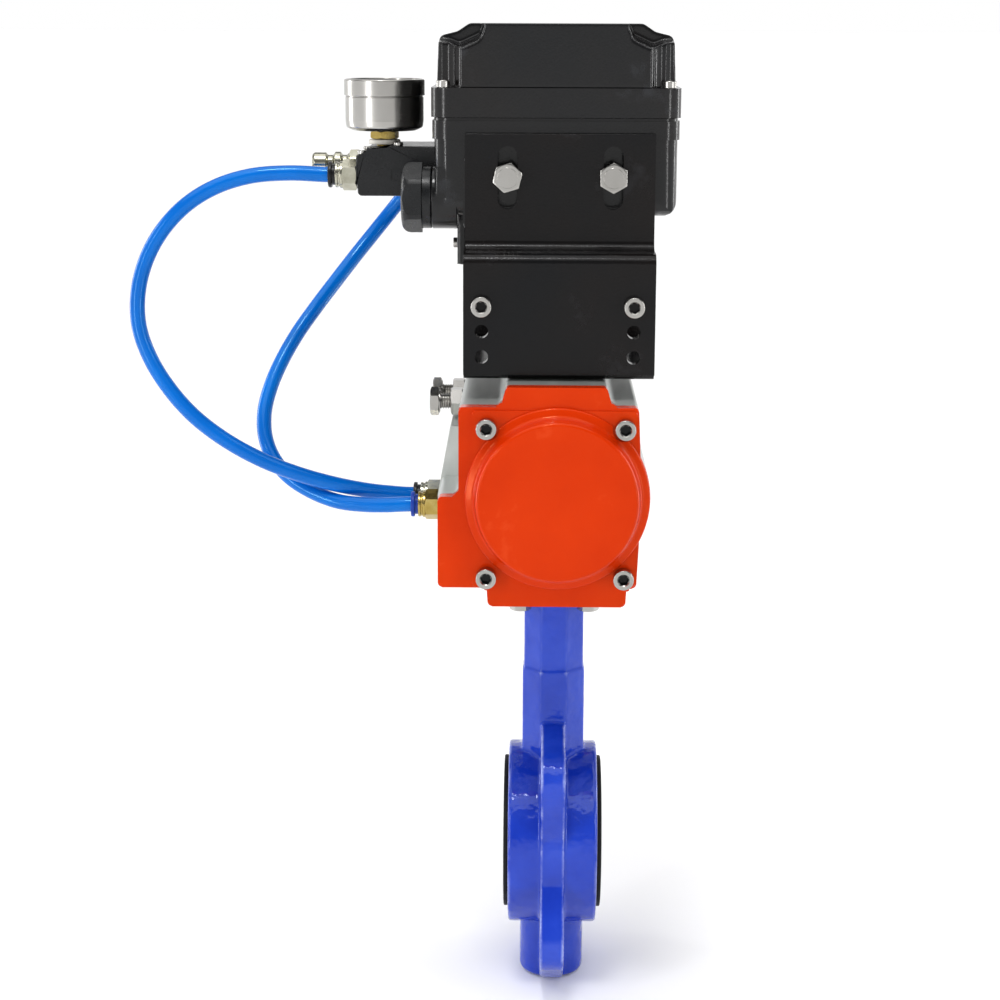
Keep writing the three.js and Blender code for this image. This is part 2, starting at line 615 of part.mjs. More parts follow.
function spindle() {
  const drops = [-1, 1].map((s) => rod("z", 1.4, 33, 48, [s * 26, 0], 8));
  return join(
    rod("z", SPINDLE_R, 40, 104),
    box(-30, 30, -7, 7, 46, 50),
    rod("z", 11, 50, 56),
    ...drops,
  );
}

function torqueMotor() {
  return join(
    box(-48, -14, 28, 62, 84, 112),
    rod("z", 12, 111, 122, [-31, 45]),
    box(-44, -18, 20, 30, 90, 104),
  );
}

function portBlock() {
  const b = BLOCK;
  const profile = new THREE.Shape();
  profile.moveTo(b.x1, b.z0);
  profile.lineTo(b.x1, b.z1);
  profile.lineTo(b.x0 + 5.5, b.z1);
  profile.lineTo(b.x0 + 5.5, b.z1 - 3.4);
  profile.lineTo(b.x0, b.z1 - 3.4);
  profile.lineTo(b.x0, b.z0 + 4);
  profile.quadraticCurveTo(b.x0, b.z0, b.x0 + 4, b.z0);
  const [gx, gy] = GAUGE_AT;
  return cut(
    slab("y", profile, b.y0, b.y1),
    rod("x", 5.1, b.x0 - 1, b.x0 + 11, OUTLET_AT, 12),
    rod("x", 5.1, b.x0 - 1, b.x0 + 11, SUPPLY_AT, 12),
    rod("y", 5.1, b.y1 - 11, b.y1 + 1, REAR_PORT_AT, 12),
    rod("z", 4.3, b.z1 - 8, b.z1 + 1, [gx, gy], 12),
  );
}

function conduitPlug() {
  const r = hexRadius(31.5);
  const at = [0, 0];
  const blank = join(
    turned("x", [[0, -78.3], [r - 2, -78.3], [r, -76.5], [r, -68], [0, -68]], at, HEX),
    rod("x", 15.5, -69, -63 - GAP, at),
    rod("x", 9, -64, -52, at),
  );
  return cut(blank, rod("x", 9.5, -80, -76.8, at));
}

function gaugeCase() {
  const r = GAUGE_R;
  const z = GAUGE_Z;
  const top = z + 26.3;
  return turned("z", [
    [2.3, z], [r - 4, z], [r - 1.2, z + 1.6], [r - 0.6, z + 4], [r - 0.6, z + 17], [r, z + 17.5], [r, top - 0.8],
    [r - 0.8, top], [r - 2.4, top], [r - 2.4, z + 14], [2.3, z + 14], [2.3, z],
  ], GAUGE_AT, 24);
}

function gaugeStem() {
  const z = GAUGE_Z;
  return join(
    rod("z", 4, BLOCK.z1 - 7, z - 4, GAUGE_AT, 10),
    rod("z", 7, BLOCK.z1 + GAP, z - 5.2, GAUGE_AT, 12),
    rod("z", hexRadius(13), z - 5.4, z - GAP, GAUGE_AT, HEX),
    rod("z", 2, z - 1, z + 15.5, GAUGE_AT, 8),
  );
}

function pointer() {
  const z = GAUGE_Z + 17;
  return join(
    slab("z", polygon([[-1.2, -5], [1.2, -5], [0.3, 14], [-0.3, 14]]), z, z + 0.7),
    rod("z", 2.6, z - 0.6, z + 1.6, [0, 0], 10),
  );
}

function buildGauge(positioner) {
  const [gx, gy] = GAUGE_AT;
  const z = GAUGE_Z;
  add(positioner, "gauge_case", gaugeCase(), "stainless");
  add(positioner, "gauge_dial", sleeve("z", 2.3, GAUGE_R - 2.7, z + 14.3, z + 15.1, GAUGE_AT, 24), "dialFace");
  add(positioner, "gauge_lens", rod("z", GAUGE_R - 2.7, z + 22, z + 24.6, GAUGE_AT, 24), "glass");
  add(positioner, "gauge_pointer", pointer(), "blackPlastic").position.set(gx, gy, 0);
  add(positioner, "gauge_stem", gaugeStem(), "brass");
}

function buildPositioner() {
  const positioner = new THREE.Group();
  positioner.position.z = TOP_Z;
  add(positioner, "positioner_housing", housing(), "blackCasting");
  add(positioner, "positioner_lid", lid(), "blackCasting");
  add(positioner, "lid_gasket", lidGasket(), "blackRubber");
  add(positioner, "positioner_spindle", spindle(), "stainless");
  add(positioner, "feedback_fork", feedbackFork(), "stainless");
  add(positioner, "control_board", box(8, 50, -25, 66, 108, 109.6), "greenBoard");
  add(positioner, "torque_motor", torqueMotor(), "anodised");
  add(positioner, "port_block", portBlock(), "blackPlastic");
  add(positioner, "conduit_plug", conduitPlug(), "blackPlastic").position.set(0, ...PLUG_AT);
  buildGauge(positioner);
  return positioner;
}

// ---- air line --------------------------------------------------------------------------------------

// A push-in fitting along +Z: thread below the face at z = 0, hexagon and mouth above it.
function fitting() {
  const blank = join(
    rod("z", 4.8, -10, 1, [0, 0], 12),
    rod("z", hexRadius(14), GAP, 8, [0, 0], HEX),
    rod("z", 6.6, 7, MOUTH, [0, 0], 12),
  );
  return cut(blank, rod("z", 5.6, 4, MOUTH + 1, [0, 0], 12), rod("z", 3, -12, 5, [0, 0], 8));
}

function releaseCollar() {
  const flange = MOUTH + GAP + COLLAR_TRAVEL;
  const profile = [
    [4.6, 6.5], [5.3, 6.5], [5.3, flange], [6.6, flange], [6.6, flange + 2], [4.6, flange + 2], [4.6, 6.5],
  ];
  return turned("z", profile, [0, 0], 12);
}

function supplyNipple() {
  const profile = [
    [2.6, -10], [4.8, -10], [4.8, GAP], [7, GAP], [7, 6], [4.6, 7], [4.6, 10], [6, 10.6], [6, 13.6], [4.4, 14.4],
    [4.4, 17.6], [5.6, 18.2], [5.6, 24.6], [5, 25.4], [2.6, 25.4], [2.6, -10],
  ];
  return turned("z", profile, [0, 0], 12);
}

// Each fitting: its name, metal and collar, the middle of its port and the way it faces.
const TO_LEFT = [0, -Math.PI / 2, 0];
const TO_REAR = [-Math.PI / 2, 0, 0];
const FITTINGS = [
  ["outlet_front", "nickel", "blackPlastic", [BLOCK.x0, OUTLET_AT[0], TOP_Z + OUTLET_AT[1]], TO_LEFT],
  ["outlet_rear", "nickel", "blackPlastic", [REAR_PORT_AT[0], BLOCK.y1, TOP_Z + REAR_PORT_AT[1]], TO_REAR],
  ["port_front", "brass", "bluePlastic", [PORT_FACE, -PORT_Y, ACTUATOR_Z + PORT_Z], TO_LEFT],
  ["port_rear", "nickel", "blackPlastic", [PORT_FACE, PORT_Y, ACTUATOR_Z + PORT_Z], TO_LEFT],
];

function airTube(route) {
  const curve = new THREE.CatmullRomCurve3(route.map((p) => new THREE.Vector3(...p)), false, "centripetal");
  const section = new THREE.Shape();
  section.absarc(0, 0, TUBE_R, 0, 2 * Math.PI);
  return new THREE.ExtrudeGeometry(section, {
    steps: 26,
    curveSegments: 4,
    bevelEnabled: false,
    extrudePath: curve,
  });
}

function buildAirLine() {
  const air = new THREE.Group();
  for (const [name, metal, plastic, place, turn] of FITTINGS) {
    const seat = new THREE.Group();
    seat.position.set(...place);
    seat.rotation.set(...turn);
    add(seat, `${name}_fitting`, fitting(), metal);
    add(seat, `${name}_collar`, releaseCollar(), plastic);
    air.add(seat);
  }
  const nipple = add(air, "supply_nipple", supplyNipple(), "nickel");
  nipple.position.set(BLOCK.x0, SUPPLY_AT[0], TOP_Z + SUPPLY_AT[1]);
  nipple.rotation.set(...TO_LEFT);
  add(air, "air_tube_outer", airTube(OUTER_ROUTE), "blueTube");
  add(air, "air_tube_inner", airTube(INNER_ROUTE), "blueTube");
  return air;
}

// ---- the whole part ----------------------------------------------------------------------------------

const group = new THREE.Group();
group.add(buildValve(), buildActuator(), buildBracket(), buildPositioner(), buildAirLine());

export default group;
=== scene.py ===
import json
import math

import bmesh
import bpy
from mathutils import Matrix, Vector


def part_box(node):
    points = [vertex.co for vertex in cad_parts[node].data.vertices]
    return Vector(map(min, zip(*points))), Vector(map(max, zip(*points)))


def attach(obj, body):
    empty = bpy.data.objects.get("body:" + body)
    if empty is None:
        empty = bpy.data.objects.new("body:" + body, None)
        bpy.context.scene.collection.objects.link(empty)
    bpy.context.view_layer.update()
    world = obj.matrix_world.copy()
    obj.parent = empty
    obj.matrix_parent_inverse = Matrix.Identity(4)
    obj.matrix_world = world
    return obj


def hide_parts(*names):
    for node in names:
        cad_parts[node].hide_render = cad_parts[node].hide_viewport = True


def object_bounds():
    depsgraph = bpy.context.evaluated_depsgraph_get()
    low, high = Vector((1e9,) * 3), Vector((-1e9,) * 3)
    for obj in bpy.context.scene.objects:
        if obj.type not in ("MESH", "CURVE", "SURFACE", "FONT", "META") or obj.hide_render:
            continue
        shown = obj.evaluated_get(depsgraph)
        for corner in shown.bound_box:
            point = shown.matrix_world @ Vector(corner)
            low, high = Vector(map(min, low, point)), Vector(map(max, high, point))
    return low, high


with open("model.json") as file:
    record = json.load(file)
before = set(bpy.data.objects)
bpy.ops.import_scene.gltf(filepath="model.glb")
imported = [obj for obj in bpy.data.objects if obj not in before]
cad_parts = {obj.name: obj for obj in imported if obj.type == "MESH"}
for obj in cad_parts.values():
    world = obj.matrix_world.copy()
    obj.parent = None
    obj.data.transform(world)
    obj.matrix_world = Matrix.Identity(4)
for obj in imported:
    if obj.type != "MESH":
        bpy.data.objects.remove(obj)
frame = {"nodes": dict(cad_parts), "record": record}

cad_low, cad_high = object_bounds()

# Shapes are drawn in millimetres and scaled to metres when they are shown.
MM = 0.001
GAP = 0.3
EPS = 1e-6


def span(node):
    """Lowest and highest corner of a CAD node, in millimetres."""
    low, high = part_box(node)
    return low / MM, high / MM


def middle(low, high):
    return (low + high) / 2


def added(name, data):
    """A new object in the scene."""
    obj = bpy.data.objects.new(name, data)
    bpy.context.scene.collection.objects.link(obj)
    return obj


# ---- places, from the frame ----

body_low, body_high = span("actuator_body")
valve_low, valve_high = span("valve_body")
AXIS_Z = (body_low.z + body_high.z) / 2
TOP_Z = body_high.z
BODY_END = body_high.y
CAP_END = -span("end_cap_front")[0].y
CAP_PLANE = BODY_END + 8
CAP_FACE = CAP_PLANE + 1.2
CAP_SCREWS = [(-34, 35), (33, 35), (-34, -39), (33, -39)]
CORNERS = [(-1, -1), (1, -1), (1, 1), (-1, 1)]
BORE_R = 41.5
STOP_Y = 15
STOP_Z = 34.8
PORT_Y = 12
PORT_Z = -20.5
PORT_FACE = -60
M6_HOLE_R = 3.3

FLANGE_TOP = valve_high.z
FLANGE_BOTTOM = FLANGE_TOP - 14.7
FLANGE_BOLT_AT = 25 * math.sqrt(0.5)
BOSS_BOTTOM = valve_low.z
LUG_AT = 62.5 * math.sqrt(0.5)
LUG_R = 17
LUG_HALF = 6.35
LUG_HOLE_R = 9
RING_R = 49
RING_HALF = 23.6
BOSS_R = 17.2
PIPE_R = 25.5
SEAT_CORE_R = 33
BUSH_R = 8
STEM_HOLE_R = 6.6

BRACKET_X = (span("upper_bracket")[0].x, span("upper_bracket")[1].x)
PLATE = 3
UPPER_FRONT_Y = span("upper_bracket")[0].y
UPPER_BACK_Y = span("upper_bracket")[1].y - PLATE
LOWER_WALL_Y = span("lower_bracket")[1].y
JOIN_X = 37.1
JOIN_Z = TOP_Z + 36.9
BASE_SCREWS = [(15 * x, 40 * y) for x, y in CORNERS]
BOLT_XS = (-25, 27)
BOLT_Z = TOP_Z + 97.2

LID_LOW, LID_HIGH = span("positioner_lid")
HOUSE_X = (LID_LOW.x + 1.5, LID_HIGH.x - 1.5)
HOUSE_Y = (LID_LOW.y + 1.5, LID_HIGH.y - 1.5)
HOUSE_TOP = span("positioner_housing")[1].z
HOUSE_BOTTOM = TOP_Z + 77.5
LID_BOTTOM = LID_LOW.z
LID_FLANGE_TOP = LID_BOTTOM + 14.3
LID_TOP = LID_HIGH.z
PLUG_AT = (-24, TOP_Z + 85.5)
BLOCK_LOW, BLOCK_HIGH = span("port_block")
GAUGE_LOW, GAUGE_HIGH = span("gauge_case")
GAUGE_AT = ((GAUGE_LOW.x + GAUGE_HIGH.x) / 2, (GAUGE_LOW.y + GAUGE_HIGH.y) / 2)
GAUGE_R = (GAUGE_HIGH.x - GAUGE_LOW.x) / 2
DIAL_START = 225
DIAL_SWEEP = 270
DIAL_NUMBERS = 6

MOUTH = 11.5
COLLAR_TRAVEL = 1.5
TUBE_R = 4

# Centreline of each air tube, from the upper fitting to the lower one, in metres.
OUTER_ROUTE = [
    (-0.107, 0.007, 0.354), (-0.12, 0.007, 0.354), (-0.138, 0.0065, 0.3547), (-0.158, 0.0055, 0.3532),
    (-0.176, 0.004, 0.3478), (-0.1915, 0.0025, 0.3385), (-0.204, 0.001, 0.3255), (-0.2125, -0.0005, 0.3105),
    (-0.217, -0.002, 0.294), (-0.217, -0.0035, 0.277), (-0.212, -0.0045, 0.261), (-0.203, -0.0055, 0.2455),
    (-0.19, -0.007, 0.2305), (-0.174, -0.008, 0.218), (-0.155, -0.0085, 0.2073), (-0.135, -0.0075, 0.1992),
    (-0.115, -0.0032, 0.1927), (-0.098, 0.0039, 0.188), (-0.088, 0.0083, 0.186), (-0.08, 0.0111, 0.1848),
    (-0.072, 0.012, 0.1845), (-0.066, 0.012, 0.1845),
]
INNER_ROUTE = [
    (-0.071, 0.05, 0.3545), (-0.071, 0.06, 0.3545), (-0.0723, 0.072, 0.3529), (-0.077, 0.0843, 0.3469),
    (-0.0842, 0.0918, 0.3377), (-0.0926, 0.094, 0.3273), (-0.1016, 0.0912, 0.3162), (-0.111, 0.0837, 0.3046),
    (-0.121, 0.0723, 0.2918), (-0.131, 0.0598, 0.2787), (-0.1405, 0.0483, 0.2652), (-0.148, 0.038, 0.2517),
    (-0.153, 0.029, 0.2393), (-0.1556, 0.0213, 0.227), (-0.1546, 0.0147, 0.2147), (-0.1497, 0.0093, 0.204),
    (-0.141, 0.0046, 0.195), (-0.1285, 0.0004, 0.188), (-0.1145, -0.0043, 0.1839), (-0.1005, -0.0083, 0.1831),
    (-0.0885, -0.011, 0.1836), (-0.08, -0.0118, 0.1842), (-0.072, -0.012, 0.1845), (-0.066, -0.012, 0.1845),
]


# ---- outlines ----

def arc(u, v, radius, start, end, steps=16):
    """Points of an arc, in degrees, ends included."""
    angles = [math.radians(start + (end - start) * k / steps) for k in range(steps + 1)]
    return [(u + radius * math.cos(a), v + radius * math.sin(a)) for a in angles]


def fillet(before, corner, after, radius, steps):
    """The arc that rounds one corner."""
    here = Vector(corner)
    back = (Vector(before) - here).normalized()
    on = (Vector(after) - here).normalized()
    half = back.angle(on) / 2
    centre = here + (back + on).normalized() * radius / math.sin(half)
    start = here + back * radius / math.tan(half) - centre
    end = here + on * radius / math.tan(half) - centre
    first = math.atan2(start.y, start.x)
    sweep = (math.atan2(end.y, end.x) - first + math.pi) % (2 * math.pi) - math.pi
    angles = [first + sweep * k / steps for k in range(steps + 1)]
    return [(centre.x + radius * math.cos(a), centre.y + radius * math.sin(a)) for a in angles]


def rounded(corners, closed=True, steps=5):
    """The outline through (u, v, radius) corners, with each corner rounded to its radius."""
    points = []
    count = len(corners)
    for k, (u, v, radius) in enumerate(corners):
        end = not closed and k in (0, count - 1)
        if end or radius == 0:
            points.append((u, v))
            continue
        points += fillet(corners[k - 1][:2], (u, v), corners[(k + 1) % count][:2], radius, steps)
    return points


def rect(u0, u1, v0, v1, radius, steps=8):
    return rounded([(u0, v0, radius), (u1, v0, radius), (u1, v1, radius), (u0, v1, radius)], steps=steps)


def hexagon(across, turn=0, at=(0, 0)):
    """Corners of a hexagon by its width across flats, turned by degrees."""
    return arc(*at, across / math.sqrt(3), turn, turn + 300, 5)


# ---- solids ----

PLACES = {
    "x": lambda u, v, h: (h, u, v),
    "y": lambda u, v, h: (u, h, v),
    "z": lambda u, v, h: (u, v, h),
}


def to_object(bm):
    bmesh.ops.recalc_face_normals(bm, faces=bm.faces)
    mesh = bpy.data.meshes.new("solid")
    bm.to_mesh(mesh)
    bm.free()
    return added("solid", mesh)


def prism(outline, axis, low, high, bevel=0.0, ends=(True, True)):
    """A slab of an outline along an axis, with the rims of its ends rounded."""
    bm = bmesh.new()
    place = PLACES[axis]
    rings = [[bm.verts.new(place(u, v, h)) for u, v in outline] for h in (low, high)]
    count = len(outline)
    for k in range(count):
        after = (k + 1) % count
        bm.faces.new([rings[0][k], rings[0][after], rings[1][after], rings[1][k]])
    caps = [bm.faces.new(rings[0][::-1]), bm.faces.new(rings[1])]
    if bevel:
        rims = [edge for cap, wanted in zip(caps, ends) if wanted for edge in cap.edges]
        bmesh.ops.bevel(bm, geom=rims, offset=bevel, segments=3, profile=0.5, affect="EDGES")
    return to_object(bm)


def lathe(profile, axis, at=(0, 0), sides=96):
    """A (radius, height) profile turned about a line along the axis. It closes on the line or on itself."""
    closed = profile[0] == profile[-1]
    points = profile[:-1] if closed else profile
    place = PLACES[axis]
    bm = bmesh.new()
    rings = []
    for radius, h in points:
        if radius < EPS:
            rings.append([bm.verts.new(place(*at, h))] * sides)
            continue
        circle = arc(*at, radius, 0, 360 - 360 / sides, sides - 1)
        rings.append([bm.verts.new(place(u, v, h)) for u, v in circle])
    for low, high in zip(rings, rings[1:] + (rings[:1] if closed else [])):
        for k in range(sides):
            after = (k + 1) % sides
            corners = dict.fromkeys([low[k], low[after], high[after], high[k]])
            if len(corners) > 2:
                bm.faces.new(list(corners))
    return to_object(bm)


def rod(axis, radius, low, high, at=(0, 0), sides=48, edge=0.0):
    if edge:
        corners = [(0, low, 0), (radius, low, edge), (radius, high, edge), (0, high, 0)]
        return lathe(rounded(corners, closed=False, steps=3), axis, at, sides)
    return lathe([(0, low), (radius, low), (radius, high), (0, high)], axis, at, sides)


def block(x, y, z, bevel=0.0, corner=0.0):
    """A box with rounded upright edges and rounded rims."""
    outline = rect(*x, *y, corner) if corner else [(x[0], y[0]), (x[1], y[0]), (x[1], y[1]), (x[0], y[1])]
    return prism(outline, "z", *z, bevel)


def settle(obj):
    """Makes the modifiers' result the object's own mesh."""
    graph = bpy.context.evaluated_depsgraph_get()
    mesh = bpy.data.meshes.new_from_object(obj.evaluated_get(graph), depsgraph=graph)
    old = obj.data
    obj.modifiers.clear()
    obj.data = mesh
    bpy.data.meshes.remove(old)
    return obj


def discard(obj):
    mesh = obj.data
    bpy.data.objects.remove(obj)
    bpy.data.meshes.remove(mesh)


def combined(base, others, operation):
    for other in others:
        modifier = base.modifiers.new("combine", "BOOLEAN")
        modifier.operation = operation
        modifier.solver = "MANIFOLD"
        modifier.object = other
    settle(base)
    for other in others:
        discard(other)
    return base


def joined(base, *others):
    return combined(base, others, "UNION")


def carved(base, *cutters):
    return combined(base, cutters, "DIFFERENCE")


def heaped(*objects):
    """One mesh of several closed shells."""
    bm = bmesh.new()
    for obj in objects:
        bm.from_mesh(obj.data)
    for obj in objects:
        discard(obj)
    return to_object(bm)


def softened(obj, width, angle):
    modifier = obj.modifiers.new("soften", "BEVEL")
    modifier.width = width
    modifier.segments = 2
    modifier.limit_method = "ANGLE"
    modifier.angle_limit = math.radians(angle)
    return settle(obj)


def melted(obj, grain, rounds):
    """The solid with its shapes run together into one skin, which leaves a small fillet along every edge."""
    melt = obj.modifiers.new("melt", "REMESH")
    melt.mode = "VOXEL"
    melt.voxel_size = grain
    ease = obj.modifiers.new("ease", "SMOOTH")
    ease.factor = 0.5
    ease.iterations = rounds
    return settle(obj)


def moved(obj, x=0.0, y=0.0, z=0.0, turn=None):
    matrix = Matrix.Translation((x, y, z))
    obj.data.transform(matrix @ turn if turn else matrix)
    return obj


def copied(obj):
    return added("solid", obj.data.copy())


def mirrored(obj):
    """A twin with its front turned to the rear."""
    twin = copied(obj)
    twin.data.transform(Matrix.Scale(-1, 4, (0, 1, 0)))
    twin.data.flip_normals()
    return twin


def hex_piece(across, axis, low, high, turn=0.0, at=(0, 0), crowns=(True, True)):
    """A hexagon whose corners are chamfered at its crowned ends, as on a nut or a bolt head."""
    corner = across / math.sqrt(3)
    flat = across * 0.475
    drop = (corner - flat) * math.tan(math.radians(30))
    profile = [(0, low)]
    profile += [(flat, low), (corner + 0.2, low + drop)] if crowns[0] else [(corner + 0.2, low)]
    profile += [(corner + 0.2, high - drop), (flat, high)] if crowns[1] else [(corner + 0.2, high)]
    profile += [(0, high)]
    body = prism(hexagon(across, turn, at), axis, low, high)
    return combined(body, [lathe(profile, axis, at, 60)], "INTERSECT")


def threaded(radius, low, high, pitch):
    """The rim of a screw thread, as profile points from low to high."""
    turns = max(1, round((high - low) / pitch))
    step = (high - low) / turns
    points = [(radius - 0.6 * pitch, low)]
    for k in range(turns):
        points += [(radius, low + (k + 0.45) * step), (radius, low + (k + 0.6) * step)]
        points += [(radius - 0.6 * pitch, low + (k + 1) * step)]
    return points


# ---- materials ----

def linked(tree, kind, **settings):
    """A new node; a setting whose name is an input sets that input's value, or links a socket to it."""
    node = tree.nodes.new(kind)
    for name, value in settings.items():
        socket_shade = node.inputs.get(name.replace("_", " "))
        if isinstance(value, bpy.types.NodeSocket):
            tree.links.new(value, socket_shade)
        elif socket_shade is not None:
            socket_shade.default_value = value
        else:
            setattr(node, name, value)
    return node


def ramp(tree, factor, stops):
    """A colour ramp of (place, colour) stops."""
    node = linked(tree, "ShaderNodeValToRGB", Fac=factor)
    elements = node.color_ramp.elements
    while len(elements) < len(stops):
        elements.new(0.5)
    for element, (place, colour) in zip(elements, stops):
        element.position = place
        element.color = (*colour, 1)
    return node.outputs["Color"]


def noise(tree, vector, size, detail=4.0, lean=0.5):
    """Noise whose features measure size metres."""
    node = linked(tree, "ShaderNodeTexNoise", Vector=vector, Scale=1 / size, Detail=detail, Roughness=lean)
    return node.outputs["Fac"]


def blended(tree, factor, a, b):
    node = linked(tree, "ShaderNodeMix", data_type="RGBA")
    for socket_shade, value in (("Factor_Float", factor), ("A_Color", a), ("B_Color", b)):
        target = next(s for s in node.inputs if s.identifier == socket_shade)
        if isinstance(value, bpy.types.NodeSocket):
            tree.links.new(value, target)
        else:
            target.default_value = (*value, 1)
    return next(s for s in node.outputs if s.identifier == "Result_Color")


def surface(name, tones, patch=0.03, rough=(0.3, 0.4), grain=0.001, relief=0.1, stretch=(1, 1, 1),
            edge=None, dust=None, wave=None, **shader_inputs):
    """A finish. tones are three colours that drift over patch metres, and rough is the range of roughness.
    grain and relief are the size and strength of the fine texture, and stretch its scale along each axis.
    wave is the (size, strength) of slow ripples, edge a (colour, amount) of painted highlight on sharp
    outward edges, and dust a (colour, amount) of sparse smudges."""
    material = bpy.data.materials.new(name)
    material.use_nodes = True
    tree = material.node_tree
    shader = tree.nodes["Principled BSDF"]
    place = linked(tree, "ShaderNodeTexCoord").outputs["Object"]
    drawn = linked(tree, "ShaderNodeMapping", Vector=place, Scale=stretch).outputs["Vector"]
    colour = ramp(tree, noise(tree, drawn, patch, 5), list(zip((0.3, 0.5, 0.7), tones)))
    if dust:
        cloud = ramp(tree, noise(tree, place, patch * 0.5, 8, 0.6), [(0.6, (0, 0, 0)), (0.8, (dust[1],) * 3)])
        colour = blended(tree, cloud, colour, dust[0])
    # Painted highlight: the edge colour is laid on sharp outward edges (high pointiness) and broken into
    # spots by noise.
    if edge:
        point = linked(tree, "ShaderNodeNewGeometry").outputs["Pointiness"]
        rim = ramp(tree, point, [(0.515, (0, 0, 0)), (0.575, (edge[1],) * 3)])
        edge_highlight_spots = ramp(tree, noise(tree, place, 0.014, 5, 0.5), [(0.4, (0, 0, 0)), (0.6, (1, 1, 1))])
        edge_highlight_mask = linked(tree, "ShaderNodeMath", operation="MULTIPLY")
        tree.links.new(rim, edge_highlight_mask.inputs[0])
        tree.links.new(edge_highlight_spots, edge_highlight_mask.inputs[1])
        colour = blended(tree, edge_highlight_mask.outputs[0], colour, edge[0])
    tree.links.new(colour, shader.inputs["Base Color"])
    shine = linked(tree, "ShaderNodeMapRange", Value=noise(tree, drawn, patch * 0.3, 6, 0.6),
                   From_Min=0.3, From_Max=0.7, To_Min=rough[0], To_Max=rough[1])
    tree.links.new(shine.outputs["Result"], shader.inputs["Roughness"])
    bump = linked(tree, "ShaderNodeBump", Height=noise(tree, drawn, grain, 3), Strength=relief,
                  Distance=grain * 0.2)
    if wave:
        swell = linked(tree, "ShaderNodeBump", Height=noise(tree, place, wave[0], 2), Strength=wave[1],
                       Distance=wave[0] * 0.1)
        tree.links.new(swell.outputs["Normal"], bump.inputs["Normal"])
    tree.links.new(bump.outputs["Normal"], shader.inputs["Normal"])
    for socket_shade, value in shader_inputs.items():
        shader.inputs[socket_shade.replace("_", " ")].default_value = value
    return material


def blue_enamel():
    tones = [(0.003, 0.026, 0.37), (0.007, 0.037, 0.44), (0.015, 0.054, 0.51)]
    # The pale edge colour is a painted highlight on the casting's sharp edges.
    return surface("blue_enamel", tones, 0.03, (0.05, 0.11), 0.0025, 0.2, wave=(0.011, 0.9),
                   edge=((0.6, 0.68, 0.95), 0.85), Specular_IOR_Level=0.6, Specular_Tint=(0.7, 0.8, 1, 1))


def black_rubber():
    tones = [(0.006, 0.006, 0.006), (0.009, 0.009, 0.009), (0.012, 0.012, 0.011)]
    return surface("black_rubber", tones, 0.02, (0.55, 0.75), 0.0008, 0.3, Specular_IOR_Level=0.2)


def stainless_steel():
    tones = [(0.34, 0.33, 0.31), (0.4, 0.39, 0.37), (0.46, 0.45, 0.43)]
    return surface("stainless_steel", tones, 0.03, (0.2, 0.26), 0.0004, 0.04, stretch=(1, 1, 0.2),
                   Metallic=1.0)


def bronze():
    tones = [(0.3, 0.17, 0.06), (0.4, 0.24, 0.09), (0.48, 0.3, 0.13)]
    return surface("bronze", tones, 0.01, (0.3, 0.5), 0.0006, 0.15, Metallic=1.0)


def anodised_aluminium():
    tones = [(0.42, 0.44, 0.42), (0.5, 0.52, 0.5), (0.58, 0.6, 0.58)]
    return surface("anodised_aluminium", tones, 0.02, (0.3, 0.42), 0.0006, 0.16, stretch=(1, 0.06, 1),
                   Metallic=0.6)


def orange_paint():
    tones = [(0.52, 0.022, 0.0005), (0.57, 0.028, 0.001), (0.62, 0.036, 0.002)]
    return surface("orange_paint", tones, 0.06, (0.09, 0.15), 0.0014, 0.1, wave=(0.02, 0.1),
                   dust=((0.85, 0.14, 0.05), 0.4), Specular_IOR_Level=0.45, Specular_Tint=(1, 0.36, 0.16, 1))


def bearing_polymer():
    tones = [(0.7, 0.67, 0.6), (0.78, 0.75, 0.68), (0.84, 0.81, 0.75)]
    return surface("bearing_polymer", tones, 0.01, (0.45, 0.6), 0.0005, 0.1)


def black_steel():
    tones = [(0.003, 0.0035, 0.0045), (0.0045, 0.0042, 0.0045), (0.0065, 0.0048, 0.0044)]
    return surface("black_steel", tones, 0.06, (0.15, 0.2), 0.0011, 0.3, dust=((0.05, 0.052, 0.06), 0.4),
                   Specular_IOR_Level=0.19)


def black_casting():
    tones = [(0.003, 0.0036, 0.0045), (0.0045, 0.0044, 0.0048), (0.0065, 0.0052, 0.005)]
    return surface("black_casting", tones, 0.05, (0.14, 0.19), 0.001, 0.22, dust=((0.05, 0.055, 0.065), 0.45),
                   Specular_IOR_Level=0.34)


def circuit_board():
    tones = [(0.008, 0.07, 0.025), (0.012, 0.1, 0.035), (0.02, 0.13, 0.05)]
    return surface("circuit_board", tones, 0.01, (0.3, 0.45), 0.0008, 0.1)


def brass():
    tones = [(0.34, 0.24, 0.06), (0.42, 0.31, 0.09), (0.5, 0.39, 0.15)]
    return surface("brass", tones, 0.006, (0.14, 0.24), 0.0005, 0.12, Metallic=1.0)


def nickel():
    tones = [(0.34, 0.33, 0.26), (0.42, 0.41, 0.33), (0.5, 0.49, 0.41)]
    return surface("nickel", tones, 0.006, (0.12, 0.22), 0.0005, 0.1, Metallic=1.0)


def dial_face():
    tones = [(0.82, 0.82, 0.79), (0.87, 0.87, 0.84), (0.9, 0.9, 0.88)]
    return surface("dial_face", tones, 0.01, (0.5, 0.62), 0.0004, 0.05)


def glass():
    tones = [(0.92, 0.96, 0.96), (0.95, 0.98, 0.98), (0.97, 0.99, 0.99)]
    return surface("glass", tones, 0.02, (0.01, 0.05), 0.002, 0.02, Transmission_Weight=1.0, IOR=1.46)


def blue_tube():
    tones = [(0.0005, 0.1, 0.46), (0.001, 0.125, 0.54), (0.001, 0.155, 0.62)]
    return surface("blue_tube", tones, 0.05, (0.08, 0.16), 0.004, 0.06, Specular_IOR_Level=0.45,
                   Specular_Tint=(0.4, 0.85, 1, 1))


